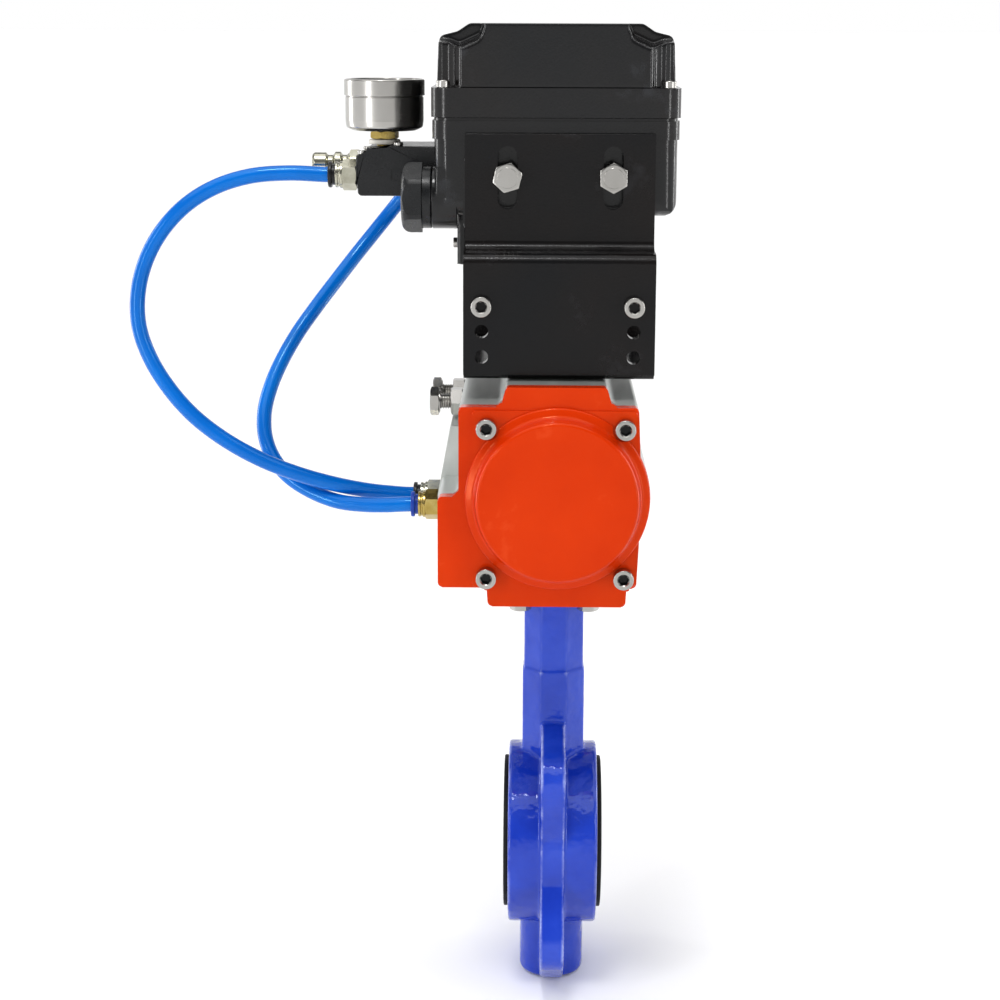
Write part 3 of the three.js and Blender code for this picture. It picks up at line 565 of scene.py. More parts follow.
def blue_plastic():
    tones = [(0.006, 0.03, 0.26), (0.009, 0.045, 0.34), (0.013, 0.06, 0.42)]
    return surface("blue_plastic", tones, 0.006, (0.3, 0.42), 0.0006, 0.12, Specular_IOR_Level=0.25)


def black_plastic():
    tones = [(0.0045, 0.0052, 0.006), (0.007, 0.0076, 0.0085), (0.01, 0.0105, 0.0115)]
    return surface("black_plastic", tones, 0.02, (0.22, 0.34), 0.0006, 0.3, Specular_IOR_Level=0.3)


MAKERS = [
    blue_enamel, black_rubber, stainless_steel, bronze, anodised_aluminium, orange_paint, bearing_polymer,
    black_steel, black_casting, circuit_board, brass, nickel, dial_face, glass, blue_tube, blue_plastic,
    black_plastic,
]
MATERIALS = {maker.__name__: maker() for maker in MAKERS}


def show(obj, name, slot, node=None, body="frame", smooth=38):
    """Finishes a solid drawn in millimetres: scale, shading, material, body, and the node it stands for."""
    obj.name = obj.data.name = name
    obj.data.transform(Matrix.Scale(MM, 4))
    obj.data.materials.clear()
    obj.data.materials.append(MATERIALS[slot])
    obj.data.shade_smooth()
    obj.data.set_sharp_from_angle(angle=math.radians(smooth))
    obj.modifiers.new("normals", "WEIGHTED_NORMAL").keep_sharp = True
    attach(obj, body)
    if node:
        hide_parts(node)
    return obj


# ---- camera ----

def make_camera():
    data = bpy.data.cameras.new("camera")
    data.sensor_width = 36
    data.lens = 78.1
    camera = added("camera", data)
    camera.location = (-0.008, -1.12, 0.431)
    camera.rotation_euler = (math.radians(77.58), math.radians(-0.2), math.radians(1.12))
    bpy.context.scene.camera = camera


# ---- air tubes ----

def through(points, steps=8):
    """Points of a centripetal Catmull-Rom curve through the route."""
    route = [Vector(p) for p in points]
    route = [2 * route[0] - route[1]] + route + [2 * route[-1] - route[-2]]
    line = []
    for p0, p1, p2, p3 in zip(route, route[1:], route[2:], route[3:]):
        a, b, c = (math.sqrt((q - p).length) for p, q in ((p0, p1), (p1, p2), (p2, p3)))
        leave = ((p1 - p0) / a - (p2 - p0) / (a + b) + (p2 - p1) / b) * b
        arrive = ((p2 - p1) / b - (p3 - p1) / (b + c) + (p3 - p2) / c) * b
        for k in range(steps):
            t = k / steps
            line.append((2 * t**3 - 3 * t**2 + 1) * p1 + (t**3 - 2 * t**2 + t) * leave
                        + (3 * t**2 - 2 * t**3) * p2 + (t**3 - t**2) * arrive)
    return line + [route[-2]]


def air_tube(name, route):
    """A tube from one fitting to another. Its exit is the outer face of the upper fitting's collar."""
    data = bpy.data.curves.new(name, "CURVE")
    data.dimensions = "3D"
    data.bevel_depth = TUBE_R * MM
    data.bevel_resolution = 8
    data.use_fill_caps = True
    line = through(route)
    spline = data.splines.new("POLY")
    spline.points.add(len(line) - 1)
    for point, place in zip(spline.points, line):
        point.co = (*place, 1)
    spline.use_smooth = True
    tube = added(name, data)
    tube.data.materials.append(MATERIALS["blue_tube"])
    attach(tube, "frame")
    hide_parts(name)


def build_tubes():
    air_tube("air_tube_outer", OUTER_ROUTE)
    air_tube("air_tube_inner", INNER_ROUTE)


# ---- fasteners ----

def socket_screw(head_r, head_h, across, shank_r, shank):
    """A socket-head screw along +Z: the head above z = 0 and the shank below it."""
    corners = [(0, head_h, 0), (head_r, head_h, 0.5), (head_r, 0, 0.2), (shank_r, 0, 0.0)]
    profile = rounded(corners, closed=False)
    profile += threaded(shank_r, 0, -shank, -1.0)[1:]
    profile += [(shank_r - 1, -shank - 0.5), (0, -shank - 0.5)]
    screw = lathe(profile, "z", sides=48)
    socket_shade = prism(hexagon(across), "z", head_h - 0.55 * head_h, head_h + 1)
    corner = across / math.sqrt(3)
    low, high = head_h - 0.5, head_h + 0.3
    mouth = lathe([(0, low), (corner - 0.3, low), (corner + 0.5, high), (0, high)], "z", sides=48)
    tip = lathe([(0, 0.3 * head_h), (across / 2, 0.5 * head_h), (0, 0.5 * head_h)], "z", sides=24)
    return carved(screw, socket_shade, mouth, tip)


def socket_shade_cup(head_h, across):
    """A dark hex cup set in a socket-head screw's socket: painted shade for the socket's hollow."""
    low, high = 0.47 * head_h, head_h - 0.45
    hollow = prism(hexagon(across - 0.7), "z", low + 0.3, high + 1)
    return carved(prism(hexagon(across - 0.04), "z", low, high), hollow)


FACING = {
    "front": Matrix.Rotation(math.radians(90), 4, "X"),
    "rear": Matrix.Rotation(math.radians(-90), 4, "X"),
    "left": Matrix.Rotation(math.radians(-90), 4, "Y"),
    "up": Matrix.Identity(4),
}


def placed(obj, place, facing):
    return moved(obj, *place, turn=FACING[facing])


# ---- valve ----

def lug_outline():
    """The lug plate in the Y-Z plane: four lugs about the ring, with a narrow band between them."""
    band = arc(0, 0, RING_R + 2, -14, 14)
    right = arc(LUG_AT, -LUG_AT, LUG_R, -80, 20) + band + arc(LUG_AT, LUG_AT, LUG_R, -20, 80)
    left = [(-y, z) for y, z in reversed(right)]
    return right + [(22, 66), (-22, 66)] + left + [(-24, BOSS_BOTTOM + 3.7), (24, BOSS_BOTTOM + 3.7)]


def chamfered_square(half, chamfer):
    c = half - chamfer
    corners = [(-c, -half), (c, -half), (half, -c), (half, c), (c, half), (-c, half), (-half, c), (-half, -c)]
    return rounded([(u, v, 1.5) for u, v in corners], steps=3)


def flange_holes(low, high):
    return [rod("z", M6_HOLE_R, low, high, (x * FLANGE_BOLT_AT, y * FLANGE_BOLT_AT), 24) for x, y in CORNERS]


def valve_casting():
    """The body as one casting: its shapes are melted together, which leaves small fillets, then machined."""
    ring = [(0, -RING_HALF, 0), (RING_R, -RING_HALF, 1.6), (RING_R, RING_HALF, 1.6), (0, RING_HALF, 0)]
    boss = [(0, BOSS_BOTTOM, 0), (BOSS_R, BOSS_BOTTOM, 3), (BOSS_R, -30, 0), (0, -30, 0)]
    cast = heaped(
        lathe(rounded(ring, closed=False), "x", sides=128),
        prism(lug_outline(), "x", -LUG_HALF, LUG_HALF, 1.2),
        lathe(rounded(boss, closed=False), "z", sides=64),
        prism(chamfered_square(16.5, 9.7), "z", 30, 94.5, 0.5),
        prism(chamfered_square(15.75, 9.2), "z", 90, FLANGE_BOTTOM + 1),
        prism(rect(-26, 26, -26, 26, 9), "z", FLANGE_BOTTOM, FLANGE_TOP, 1.4),
    )
    return carved(
        melted(cast, 0.8, 5),
        rod("x", SEAT_CORE_R + GAP, -30, 30, sides=96),
        rod("z", BUSH_R + GAP, BOSS_BOTTOM - 1, FLANGE_TOP + 1),
        block((-40, 40), (-40, 40), (FLANGE_TOP - 0.1, FLANGE_TOP + 5)),
        *[rod("x", LUG_HOLE_R, -10, 10, (y * LUG_AT, z * LUG_AT)) for y, z in CORNERS],
        *flange_holes(FLANGE_BOTTOM - 3, FLANGE_TOP + 3),
    )


def seat():
    lip = RING_HALF + GAP
    outer = span("valve_seat")[1].x
    rim = span("valve_seat")[1].y
    profile = rounded([
        (PIPE_R, -outer, 1.2), (rim, -outer, 0.8), (rim, -lip, 0.3), (SEAT_CORE_R, -lip, 0.3),
        (SEAT_CORE_R, lip, 0.3), (rim, lip, 0.3), (rim, outer, 0.8), (PIPE_R, outer, 1.2),
    ])
    liner = lathe(profile + profile[:1], "x", sides=128)
    return carved(liner, rod("z", STEM_HOLE_R, -40, 40))


def disc():
    profile = rounded([(0, -5, 0), (15, -5, 6), (22, -3.6, 5), (25, -1.5, 0.4), (25, 1.5, 0.4), (22, 3.6, 5),
                       (15, 5, 6), (0, 5, 0)], closed=False)
    hub = rod("z", 9, -23.2, 23.2, edge=1.5)
    return carved(joined(lathe(profile, "x", sides=128), hub), rod("z", STEM_HOLE_R, -30, 30))


def flange_bolt():
    """Pointing up from the flange's underside at z = 0, with a washer under its head."""
    head = hex_piece(10, "z", -6, -1.9, crowns=(True, False))
    washer = rod("z", 5.6, -1.95, -GAP, edge=0.25)
    profile = [(0, -1)] + threaded(3, -1, 23, 1) + [(2, 24), (0, 24)]
    return heaped(head, washer, lathe(profile, "z", sides=32))


def build_valve():
    show(valve_casting(), "valve_body_casting", "blue_enamel", "valve_body", smooth=50)
    show(seat(), "valve_seat_liner", "black_rubber", "valve_seat")
    show(disc(), "valve_disc_plate", "stainless_steel", "valve_disc", "drive_train")
    plug = rod("z", BUSH_R, BOSS_BOTTOM + GAP, -72, edge=0.6)
    plug = carved(plug, prism(hexagon(6), "z", BOSS_BOTTOM - 1, BOSS_BOTTOM + 4))
    show(plug, "stem_end_plug_turned", "stainless_steel", "stem_end_plug")
    bolt = flange_bolt()
    for k, (x, y) in enumerate(CORNERS, start=1):
        twin = moved(copied(bolt), x * FLANGE_BOLT_AT, y * FLANGE_BOLT_AT, FLANGE_BOTTOM)
        show(twin, f"flange_bolt_{k}_turned", "stainless_steel", f"flange_bolt_{k}")
    discard(bolt)


# ---- actuator, drawn about its cylinder axis ----

def profile_outline(inset=0.0):
    """The section of the body and of the caps' flanges: a step above and below, a bulge, and the port pad."""
    i = inset
    side = 39.6 - i
    bulge = 45.2 - i
    angle = math.degrees(math.acos((side - 0.5) / bulge))
    corner = 2.2
    left = rounded([
        (side, -45 + i, corner), (side, 0, 0), (side, 44.8 - i, corner), (26.8 - i, 44.8 - i, 3),
        (24 - i, 54.5 - i, corner), (-24.6 + i, 54.5 - i, corner), (-27.2 + i, 44.8 - i, 3),
        (-47.6 + i, 44.8 - i, corner), (-47.6 + i, 0.5 - i, 3),
        (-57.8 + i, 0.5 - i, corner), (-57.8 + i, -45 + i, corner), (-33.8 + i, -45 + i, 1.5),
        (-33.2 + i, -54.5 + i, corner), (34.3 - i, -54.5 + i, corner), (34.8 - i, -45 + i, 1.5),
    ])
    middle = left.index((side, 0))
    return left[:middle] + arc(0.5, 0, bulge, -angle, angle, 24) + left[middle + 1:]


def hold_screws(low, high, radius):
    return [rod("y", radius, low, high, at, 32) for at in CAP_SCREWS]


def actuator_extrusion():
    pad = rounded([(-44, 27, 0), (-53.6, 26.2, 0.8), (-60, -9, 2), (-60, -45, 1.5), (-44, -45, 0)])
    body = joined(
        prism(profile_outline(), "y", -BODY_END, BODY_END, 0.5),
        prism(pad, "y", -40, 40, 1.2),
    )
    cuts = [
        rod("y", BORE_R, -BODY_END - 1, BODY_END + 1, sides=128),
        rod("z", 13.3, 30, 60),
        rod("z", 17.3, -60, -30),
        *hold_screws(-BODY_END - 1, -66, M6_HOLE_R),
        *hold_screws(66, BODY_END + 1, M6_HOLE_R),
        *flange_holes(-56, -43.5),
    ]
    for sign in (-1, 1):
        cuts.append(rod("x", 4.3, -50, -8, (STOP_Y * sign, STOP_Z)))
        cuts.append(rod("x", 5.1, -61, -30, (PORT_Y * sign, PORT_Z)))
        cuts.append(rod("x", 2.1, -61, -50, (16 * sign, -36.5), 24))
        cuts.append(rod("x", 2.1, -62, -46, (16 * sign, -4.5), 24))
    return moved(carved(body, *cuts), z=AXIS_Z)


def cap_casting():
    """The front cap: flange, raised plate and dome, hollow behind, with a spot face about each screw."""
    dome = rounded([
        (0, -CAP_END, 0), (39.2, -CAP_END, 1.9), (40.5, -94.4, 2.6), (45, -92.7, 1.2),
        (45, -CAP_PLANE + 1, 0),
        (0, -CAP_PLANE + 1, 0),
    ], closed=False)
    cap = joined(
        prism(profile_outline(), "y", -CAP_PLANE, -BODY_END - GAP, 0.9, ends=(True, False)),
        prism(rect(-41.3, 38.9, -44.4, 43.4, 2.2), "y", -CAP_FACE, -CAP_PLANE + 1, 0.7, ends=(True, False)),
        lathe(dome, "y", (0.5, 0), 160),
    )
    return carved(
        cap,
        rod("y", 35, -98, -BODY_END, sides=64),
        *hold_screws(-105, -CAP_FACE, 6.2),
        *hold_screws(-95, -BODY_END, M6_HOLE_R),
    )


def stop_screw():
    """Drawn along +Z and turned to the left: its thread runs from z = -39 in the body out to the head."""
    head = hex_piece(13, "z", 12.3, 17)
    collar = rod("z", 5.8, 11.9, 12.35)
    profile = [(0, -39)] + threaded(4, -39, 12, 1.25) + [(0, 12)]
    return heaped(head, collar, lathe(profile, "z", sides=40))


def build_actuator():
    show(actuator_extrusion(), "actuator_body_extrusion", "anodised_aluminium", "actuator_body")
    front = moved(cap_casting(), z=AXIS_Z)
    rear = mirrored(front)
    show(front, "end_cap_front_casting", "orange_paint", "end_cap_front", smooth=30)
    show(rear, "end_cap_rear_casting", "orange_paint", "end_cap_rear", smooth=30)
    screw = socket_screw(5, 6, 5, 3, 20)
    # Each cap screw gets a dark cup in its socket, painted shade for the hollow.
    liner = socket_shade_cup(6, 5)
    socket_shades = []
    seat_y = CAP_FACE + GAP
    for k, (x, z) in enumerate(CAP_SCREWS, start=1):
        turn = Matrix.Rotation(math.radians(17 * k), 4, "Z")
        ahead = placed(moved(copied(screw), turn=turn), (x, -seat_y, AXIS_Z + z), "front")
        show(ahead, f"cap_screw_{k}_turned", "stainless_steel", f"cap_screw_{k}")
        behind = placed(moved(copied(screw), turn=turn), (x, seat_y, AXIS_Z + z), "rear")
        show(behind, f"rear_cap_screw_{k}", "stainless_steel")
        socket_shades.append(placed(moved(copied(liner), turn=turn), (x, -seat_y, AXIS_Z + z), "front"))
        socket_shades.append(placed(moved(copied(liner), turn=turn), (x, seat_y, AXIS_Z + z), "rear"))
    show(heaped(*socket_shades), "cap_screw_socket_shades", "black_steel")
    discard(screw)
    discard(liner)
    side_x = span("stop_nut_front")[1].x
    for side, y in (("front", -STOP_Y), ("rear", STOP_Y)):
        screw = placed(stop_screw(), (side_x, y, AXIS_Z + STOP_Z), "left")
        node = f"stop_screw_{side}"
        show(screw, f"{node}_turned", "stainless_steel", node, node)
        nut = carved(hex_piece(13, "z", 0, 6.4, turn=30), rod("z", 4.3, -1, 8))
        nut = placed(nut, (side_x, y, AXIS_Z + STOP_Z), "left")
        show(nut, f"stop_nut_{side}_turned", "stainless_steel", f"stop_nut_{side}")


# ---- bracket ----

def join_holes(low, high):
    places = [(x, JOIN_Z - drop) for x in (-JOIN_X, JOIN_X) for drop in (0, 12.5, 25)]
    return [rod("y", M6_HOLE_R, low, high, place, 32) for place in places]


def lower_plate():
    """A channel: a base on the actuator and two walls, bent from one sheet."""
    w = LOWER_WALL_Y
    base = TOP_Z + GAP
    top = span("lower_bracket")[1].z
    section = rounded([
        (-w, base, 4), (w, base, 4), (w, top, 0.4), (w - PLATE, top, 0.4), (w - PLATE, base + PLATE, 1.2),
        (-w + PLATE, base + PLATE, 1.2), (-w + PLATE, top, 0.4), (-w, top, 0.4),
    ])
    base_holes = [rod("z", 2.8, base - 1, base + 5, at, 24) for at in BASE_SCREWS]
    return carved(prism(section, "x", *BRACKET_X, 0.35), rod("z", 22, base - 1, base + 5, sides=64),
                  *join_holes(-w - 2, w + 2), *base_holes)


def upper_plate():
    """A sheet bent back at a ledge, with two slots for the positioner's bolts."""
    front, back = UPPER_FRONT_Y, UPPER_BACK_Y
    low, top = span("upper_bracket")[0].z, span("upper_bracket")[1].z
    ledge = TOP_Z + 62
    section = rounded([
        (front, low, 0.4), (front + PLATE, low, 0.4), (front + PLATE, ledge - PLATE, 2.0),
        (back + PLATE, ledge - PLATE, 7.0), (back + PLATE, top, 0.4), (back, top, 0.4), (back, ledge, 4.5),
        (front, ledge, 4.8),
    ])
    slots = [prism(rect(x - 4.9, x + 4.9, TOP_Z + 81.5, TOP_Z + 112.3, 4.89), "y", back - 2, back + PLATE + 2)
             for x in BOLT_XS]
    return carved(prism(section, "x", *BRACKET_X, 0.35), *slots, *join_holes(front - 2, front + PLATE + 2))


def positioner_bolt(turn):
    """A hexagon head above z = 0, with a bearing face under it, and the shank below."""
    head = hex_piece(13, "z", 0.4, 5.6, turn, crowns=(False, True))
    face = rod("z", 6, 0, 0.45)
    crown = rounded([(0, 5.75, 0), (5.1, 5.75, 0.3), (5.1, 5.3, 0), (0, 5.3, 0)], closed=False)
    button = lathe(crown, "z", sides=48)
    profile = [(0, 0.2), (4, 0.2)] + threaded(4, 0.1, -15.5, -1.25)[1:] + [(0, -16)]
    return heaped(joined(head, button), face, lathe(profile, "z", sides=40))


def build_bracket():
    show(lower_plate(), "lower_bracket_sheet", "black_steel", "lower_bracket")
    show(upper_plate(), "upper_bracket_sheet", "black_steel", "upper_bracket")
    places = (("left", -JOIN_X, 8, BOLT_XS[0], 77), ("right", JOIN_X, 37, BOLT_XS[1], 90))
    for side, x, turn, bolt_x, bolt_turn in places:
        spin = Matrix.Rotation(math.radians(turn), 4, "Z")
        screw = moved(socket_screw(5, 5.7, 5, 3, 11.5), turn=spin)
        nut = moved(hex_piece(10, "z", -11, -6.9), turn=spin)
        place = (x, UPPER_FRONT_Y - GAP, JOIN_Z)
        # The dark cup in the socket is painted shade for the hollow.
        liner = placed(moved(socket_shade_cup(5.7, 5), turn=spin), place, "front")
        show(liner, f"bracket_screw_{side}_socket", "black_steel")
        screw = placed(heaped(screw, nut), place, "front")
        show(screw, f"bracket_screw_{side}_turned", "stainless_steel", f"bracket_screw_{side}")
        bolt = placed(positioner_bolt(bolt_turn), (bolt_x, UPPER_BACK_Y - GAP, BOLT_Z), "front")
        show(bolt, f"positioner_bolt_{side}_turned", "stainless_steel", f"positioner_bolt_{side}")
    for k, at in enumerate(BASE_SCREWS, start=1):
        head = rounded([(0, 2.9, 0), (2.6, 2.9, 0.6), (4.7, 1.2, 0.8), (4.7, 0, 0.2), (2.4, 0, 0),
                        (2.4, -3, 0),
                        (0, -3, 0)], closed=False)
        screw = carved(lathe(head, "z", at), prism(hexagon(3, 20 * k, at), "z", 1.2, 4))
        show(moved(screw, z=TOP_Z + GAP + PLATE + 0.1), f"bracket_base_screw_{k}", "stainless_steel")


# ---- positioner ----

def housing_casting():
    """A box with rounded upright edges, cut to the rounded foot that its front and side views share."""
    x0, x1 = HOUSE_X
    y0, y1 = HOUSE_Y
    z0 = HOUSE_BOTTOM
    rim = HOUSE_TOP - 10.4
    wall = 4
    plug_y, plug_z = PLUG_AT
    foot = [(-1, HOUSE_TOP, 0), (-1, z0, 8), (1, z0, 8), (1, HOUSE_TOP, 0)]
    views = []
    for axis, a, b, start, end in (("y", x0, x1, y0, y1), ("x", y0, y1, x0, x1)):
        outline = rounded([((b - a) / 2 * u + (a + b) / 2, v, r) for u, v, r in foot])
        views.append(prism(outline, axis, start - 1, end + 1))
    box = prism(rect(x0, x1, y0, y1, 9, 10), "z", z0 - 1, HOUSE_TOP)
    shell = joined(
        combined(box, views, "INTERSECT"),
        prism(rect(x0 - 1, x1 + 1, y0 - 1, y1 + 1, 10, 10), "z", rim, HOUSE_TOP - 1.3, 0.9),
        prism(rect(-47, 47, TOP_Z + 70.5, TOP_Z + 108.5, 4), "y", y0 - 2.7, y0 + 6, 0.8),
        rod("x", 15.5, -63, -50, PLUG_AT, 96, 0.6),
        block((x0 + 0.4, x0 + 12), (plug_y - 15.5, plug_y + 15.5), (plug_z, plug_z + 16), 1.0, 2),
    )
    screws = [rod("x", 3, -66, -50, (15 + 15 * k, TOP_Z + 97), 24) for k in (0, 1)]
    bolts = [rod("y", 4.3, -45, -28, (x, BOLT_Z), 32) for x in BOLT_XS]
    pockets = [rect(x - 5.5, x + 5.5, BOLT_Z - 15, BOLT_Z + 13, 5) for x in BOLT_XS]
    return carved(
        shell,
        prism(rect(x0 + wall, x1 - wall, y0 + wall + 6, y1 - wall, 5), "z", z0 + wall, HOUSE_TOP + 1),
        rod("z", 6.3, z0 - 8, z0 + 13),
        rod("x", 9.3, -64, -50, PLUG_AT),
        *screws,
        *bolts,
        *[prism(pocket, "y", y0 - 4, y0 + 4.5) for pocket in pockets],
    )


def scallop(x, y, sx, sy):
    """The upright fluted hollow at a corner of the lid, which gives a screwdriver room."""
    ribs = 9
    points = 90
    outline = []
    for k in range(points):
        a = 2 * math.pi * k / points
        flute = abs(math.sin(a * ribs / 2 + 0.35))
        radius = 12.9 - 1.3 * (1 - flute) ** 2
        outline.append((x - sx * 1.0 + radius * math.cos(a), y - sy * 1.5 + radius * math.sin(a)))
    return prism(outline, "z", LID_FLANGE_TOP, LID_TOP + 2)


def corner_slope(x, y, sx, sy):
    """A falling hollow above a scallop. It is drawn for the front left corner and mirrored to the others."""
    u = x * sx
    outline = rounded([
        (u - 24.5, LID_TOP + 14, 0), (u - 25.2, LID_TOP - 1.5, 0), (u - 22.6, LID_TOP - 8.2, 2.6),
        (u - 12, LID_TOP - 13.0, 3), (u - 7.5, LID_TOP - 11.2, 3), (u + 3, LID_TOP - 10.6, 0),
        (u + 3, LID_TOP + 14, 0),
    ], steps=6)
    wedge = prism(outline, "y", 0, 25)
    rise = 0.12
    for vertex in wedge.data.vertices:
        vertex.co.z += rise * vertex.co.y
    wedge.data.transform(Matrix(((sx, 0, 0, 0), (0, -sy, 0, y + 1.5 * sy), (0, 0, 1, 0), (0, 0, 0, 1))))
    if sx * sy > 0:
        wedge.data.flip_normals()
    return wedge


def lid_casting():
    x0, x1 = HOUSE_X
    y0, y1 = HOUSE_Y
    z1 = LID_FLANGE_TOP
    top = LID_TOP
    dome = prism(rounded([
        (x0 + 1.0, z1 - 1, 0), (x1 - 1.0, z1 - 1, 0), (x1 - 1.9, top - 6.2, 3.2), (x1 - 11, top - 4.0, 4),
        (x1 - 17, top, 4), (x0 + 17, top, 4), (x0 + 11, top - 4.0, 4), (x0 + 1.9, top - 6.2, 3.2),
    ]), "y", y0 - 0.6, y1 + 0.6, 1.6)
    corners = [(x0, y0, -1, -1), (x1, y0, 1, -1), (x1, y1, 1, 1), (x0, y1, -1, 1)]
    dome = carved(dome, *[cutter(*corner) for cutter in (scallop, corner_slope) for corner in corners])
    flange = prism(rect(x0 - 1.5, x1 + 1.5, y0 - 1.5, y1 + 1.5, 10, 10), "z", LID_BOTTOM, z1, 0.8)
    return carved(
        joined(melted(dome, 0.7, 4), flange),
        prism(rect(x0 + 5, x1 - 5, y0 + 5, y1 - 5, 5), "z", LID_BOTTOM - 1, z1 - 3),
        prism(rect(x0 + 16, x1 - 16, y0 + 16, y1 - 16, 5), "z", LID_BOTTOM - 1, top - 9),
        prism(rect(x0 + 1.5, x1 - 1.5, y0 + 1.5, y1 - 1.5, 8), "z", LID_BOTTOM - 1, LID_BOTTOM + 2),
    )


def lid_screws():
    """A captive screw on the flange in each corner's scallop."""
    inset = 4.6
    screw = socket_screw(3.5, 3.4, 3, 2, 6)
    xs, ys = [(low + inset, high - inset) for low, high in (HOUSE_X, HOUSE_Y)]
    places = [(x, y) for x in xs for y in ys]
    for k, (x, y) in enumerate(places, start=1):
        show(moved(copied(screw), x, y, LID_FLANGE_TOP + 0.1), f"lid_screw_{k}", "stainless_steel")
    discard(screw)


def port_block():
    low, high = BLOCK_LOW, BLOCK_HIGH
    outline = rounded([
        (high.x, low.z, 0), (high.x, high.z, 0), (low.x + 17, high.z, 0.5), (low.x + 16.4, high.z - 0.7, 0.2),
        (low.x + 5.5, high.z - 0.7, 0.8), (low.x + 5.2, high.z - 4.0, 0.6), (low.x, high.z - 4.4, 1.2),
        (low.x, low.z + 6.5, 0.4), (low.x + 0.5, low.z + 6, 0.4), (low.x + 0.8, low.z, 2.2),
    ], steps=4)
    manifold = prism(outline, "y", low.y, high.y, 0.8)
    front = middle(*span("outlet_front_fitting"))
    supply = middle(*span("supply_nipple"))
    rear = middle(*span("outlet_rear_fitting"))
    return carved(
        manifold,
        rod("x", 5.1, low.x - 1, low.x + 11, (front.y, front.z)),
        rod("x", 5.1, low.x - 1, low.x + 11, (supply.y, supply.z)),
        rod("y", 5.1, high.y - 11, high.y + 1, (rear.x, rear.z)),
        rod("z", 4.4, high.z - 8, high.z + 1, GAUGE_AT),
        block((low.x + 18, high.x - 2), (low.y - 1, low.y + 0.5), (low.z + 8, low.z + 14), 0),
    )


def conduit_plug():
    outer = -78.3
    crown = rounded([(0, outer, 0), (17.5, outer, 4.5), (17.5, -67, 0), (0, -67, 0)], closed=False)
    hexagonal = prism(hexagon(31.5, 90, PLUG_AT), "x", outer - 1, -68)
    hexagonal = combined(hexagonal, [lathe(crown, "x", PLUG_AT)], "INTERSECT")
    washer = rod("x", 15.4, -68.05, -63 - GAP, PLUG_AT, 96, 0.5)
    thread = lathe([(0, -64)] + threaded(9, -64, -52, 1.5) + [(0, -52)], "x", PLUG_AT, 64)
    plug = joined(hexagonal, washer, thread)
    recess = rounded([(0, -80, 0), (9.5, -80, 0), (9.5, -76.8, 0.6), (0, -76.8, 0)], closed=False)
    return softened(carved(plug, lathe(recess, "x", PLUG_AT)), 0.5, 40)


def gauge_shell():
    """The case with its rolled bezel, open above the dial."""
    r = GAUGE_R
    z = GAUGE_LOW.z
    top = GAUGE_HIGH.z
    profile = rounded([
        (2.3, z, 0), (r - 4.5, z, 1.5), (r - 1.0, z + 1.6, 1.6), (r - 0.6, z + 5, 2),
        (r - 0.6, z + 16.9, 0.2),
        (r - 1.0, z + 17.1, 0.1), (r - 1.0, z + 17.5, 0.1), (r, z + 17.8, 0.3), (r, top - 0.6, 0.9),
        (r - 2.2, top, 0.6), (r - 2.4, top - 2, 0.2), (r - 2.4, z + 14, 0.2), (2.3, z + 14, 0),
    ], steps=4)
    return lathe(profile + profile[:1], "z", GAUGE_AT, 160)


def dial_marks():
    """Scale marks over three quarters of a turn, every tenth one long."""
    marks = []
    steps = 50
    height = GAUGE_LOW.z + 15.1
    for k in range(steps + 1):
        angle = math.radians(DIAL_START - DIAL_SWEEP * k / steps)
        inner = 12.6 if k % 10 == 0 else 14.2 if k % 5 == 0 else 15.0
        half = 0.42 if k % 10 == 0 else 0.2
        outline = [(inner, -half), (16.4, -half), (16.4, half), (inner, half)]
        turn = Matrix.Rotation(angle, 4, "Z")
        marks.append(moved(prism(outline, "z", height, height + 0.12), *GAUGE_AT, turn=turn))
    return heaped(*marks)


def dial_numbers():
    numbers = []
    for k in range(DIAL_NUMBERS):
        angle = math.radians(DIAL_START - DIAL_SWEEP * k / (DIAL_NUMBERS - 1))
        text = bpy.data.curves.new("number", "FONT")
        text.body = str(2 * k)
        text.size = 3.4
        text.extrude = 0.06
        text.align_x = text.align_y = "CENTER"
        holder = added("number", text)
        graph = bpy.context.evaluated_depsgraph_get()
        mesh = bpy.data.meshes.new_from_object(holder.evaluated_get(graph))
        number = added("number", mesh)
        bpy.data.objects.remove(holder)
        radius = 10.2
        x = GAUGE_AT[0] + radius * math.cos(angle)
        y = GAUGE_AT[1] + radius * math.sin(angle)
        numbers.append(moved(number, x, y, GAUGE_LOW.z + 15.2))
    return heaped(*numbers)


def pointer():
    z = GAUGE_LOW.z + 17
    needle = rounded([(-1.3, -5.5, 0.4), (1.3, -5.5, 0.4), (0.28, 14, 0.1), (-0.28, 14, 0.1)], steps=3)
    hub = rod("z", 2.6, z - 0.6, z + 1.6, edge=0.5)
    return moved(joined(prism(needle, "z", z, z + 0.7, 0.15), hub), *GAUGE_AT)


def gauge_stem():
    z = GAUGE_LOW.z
    seat_z = BLOCK_HIGH.z
    low, high = seat_z - 7, seat_z + 0.2
    shank = [(0, low)] + threaded(4.1, low, high, 1.0) + [(0, high)]
    return joined(
        lathe(shank, "z", GAUGE_AT, 48),
        hex_piece(13, "z", z - 4.4, z - GAP, turn=18, at=GAUGE_AT),
        rod("z", 4, seat_z, z - 4, GAUGE_AT),
        rod("z", 2, z - 1, z + 15.5, GAUGE_AT, 24),
    )


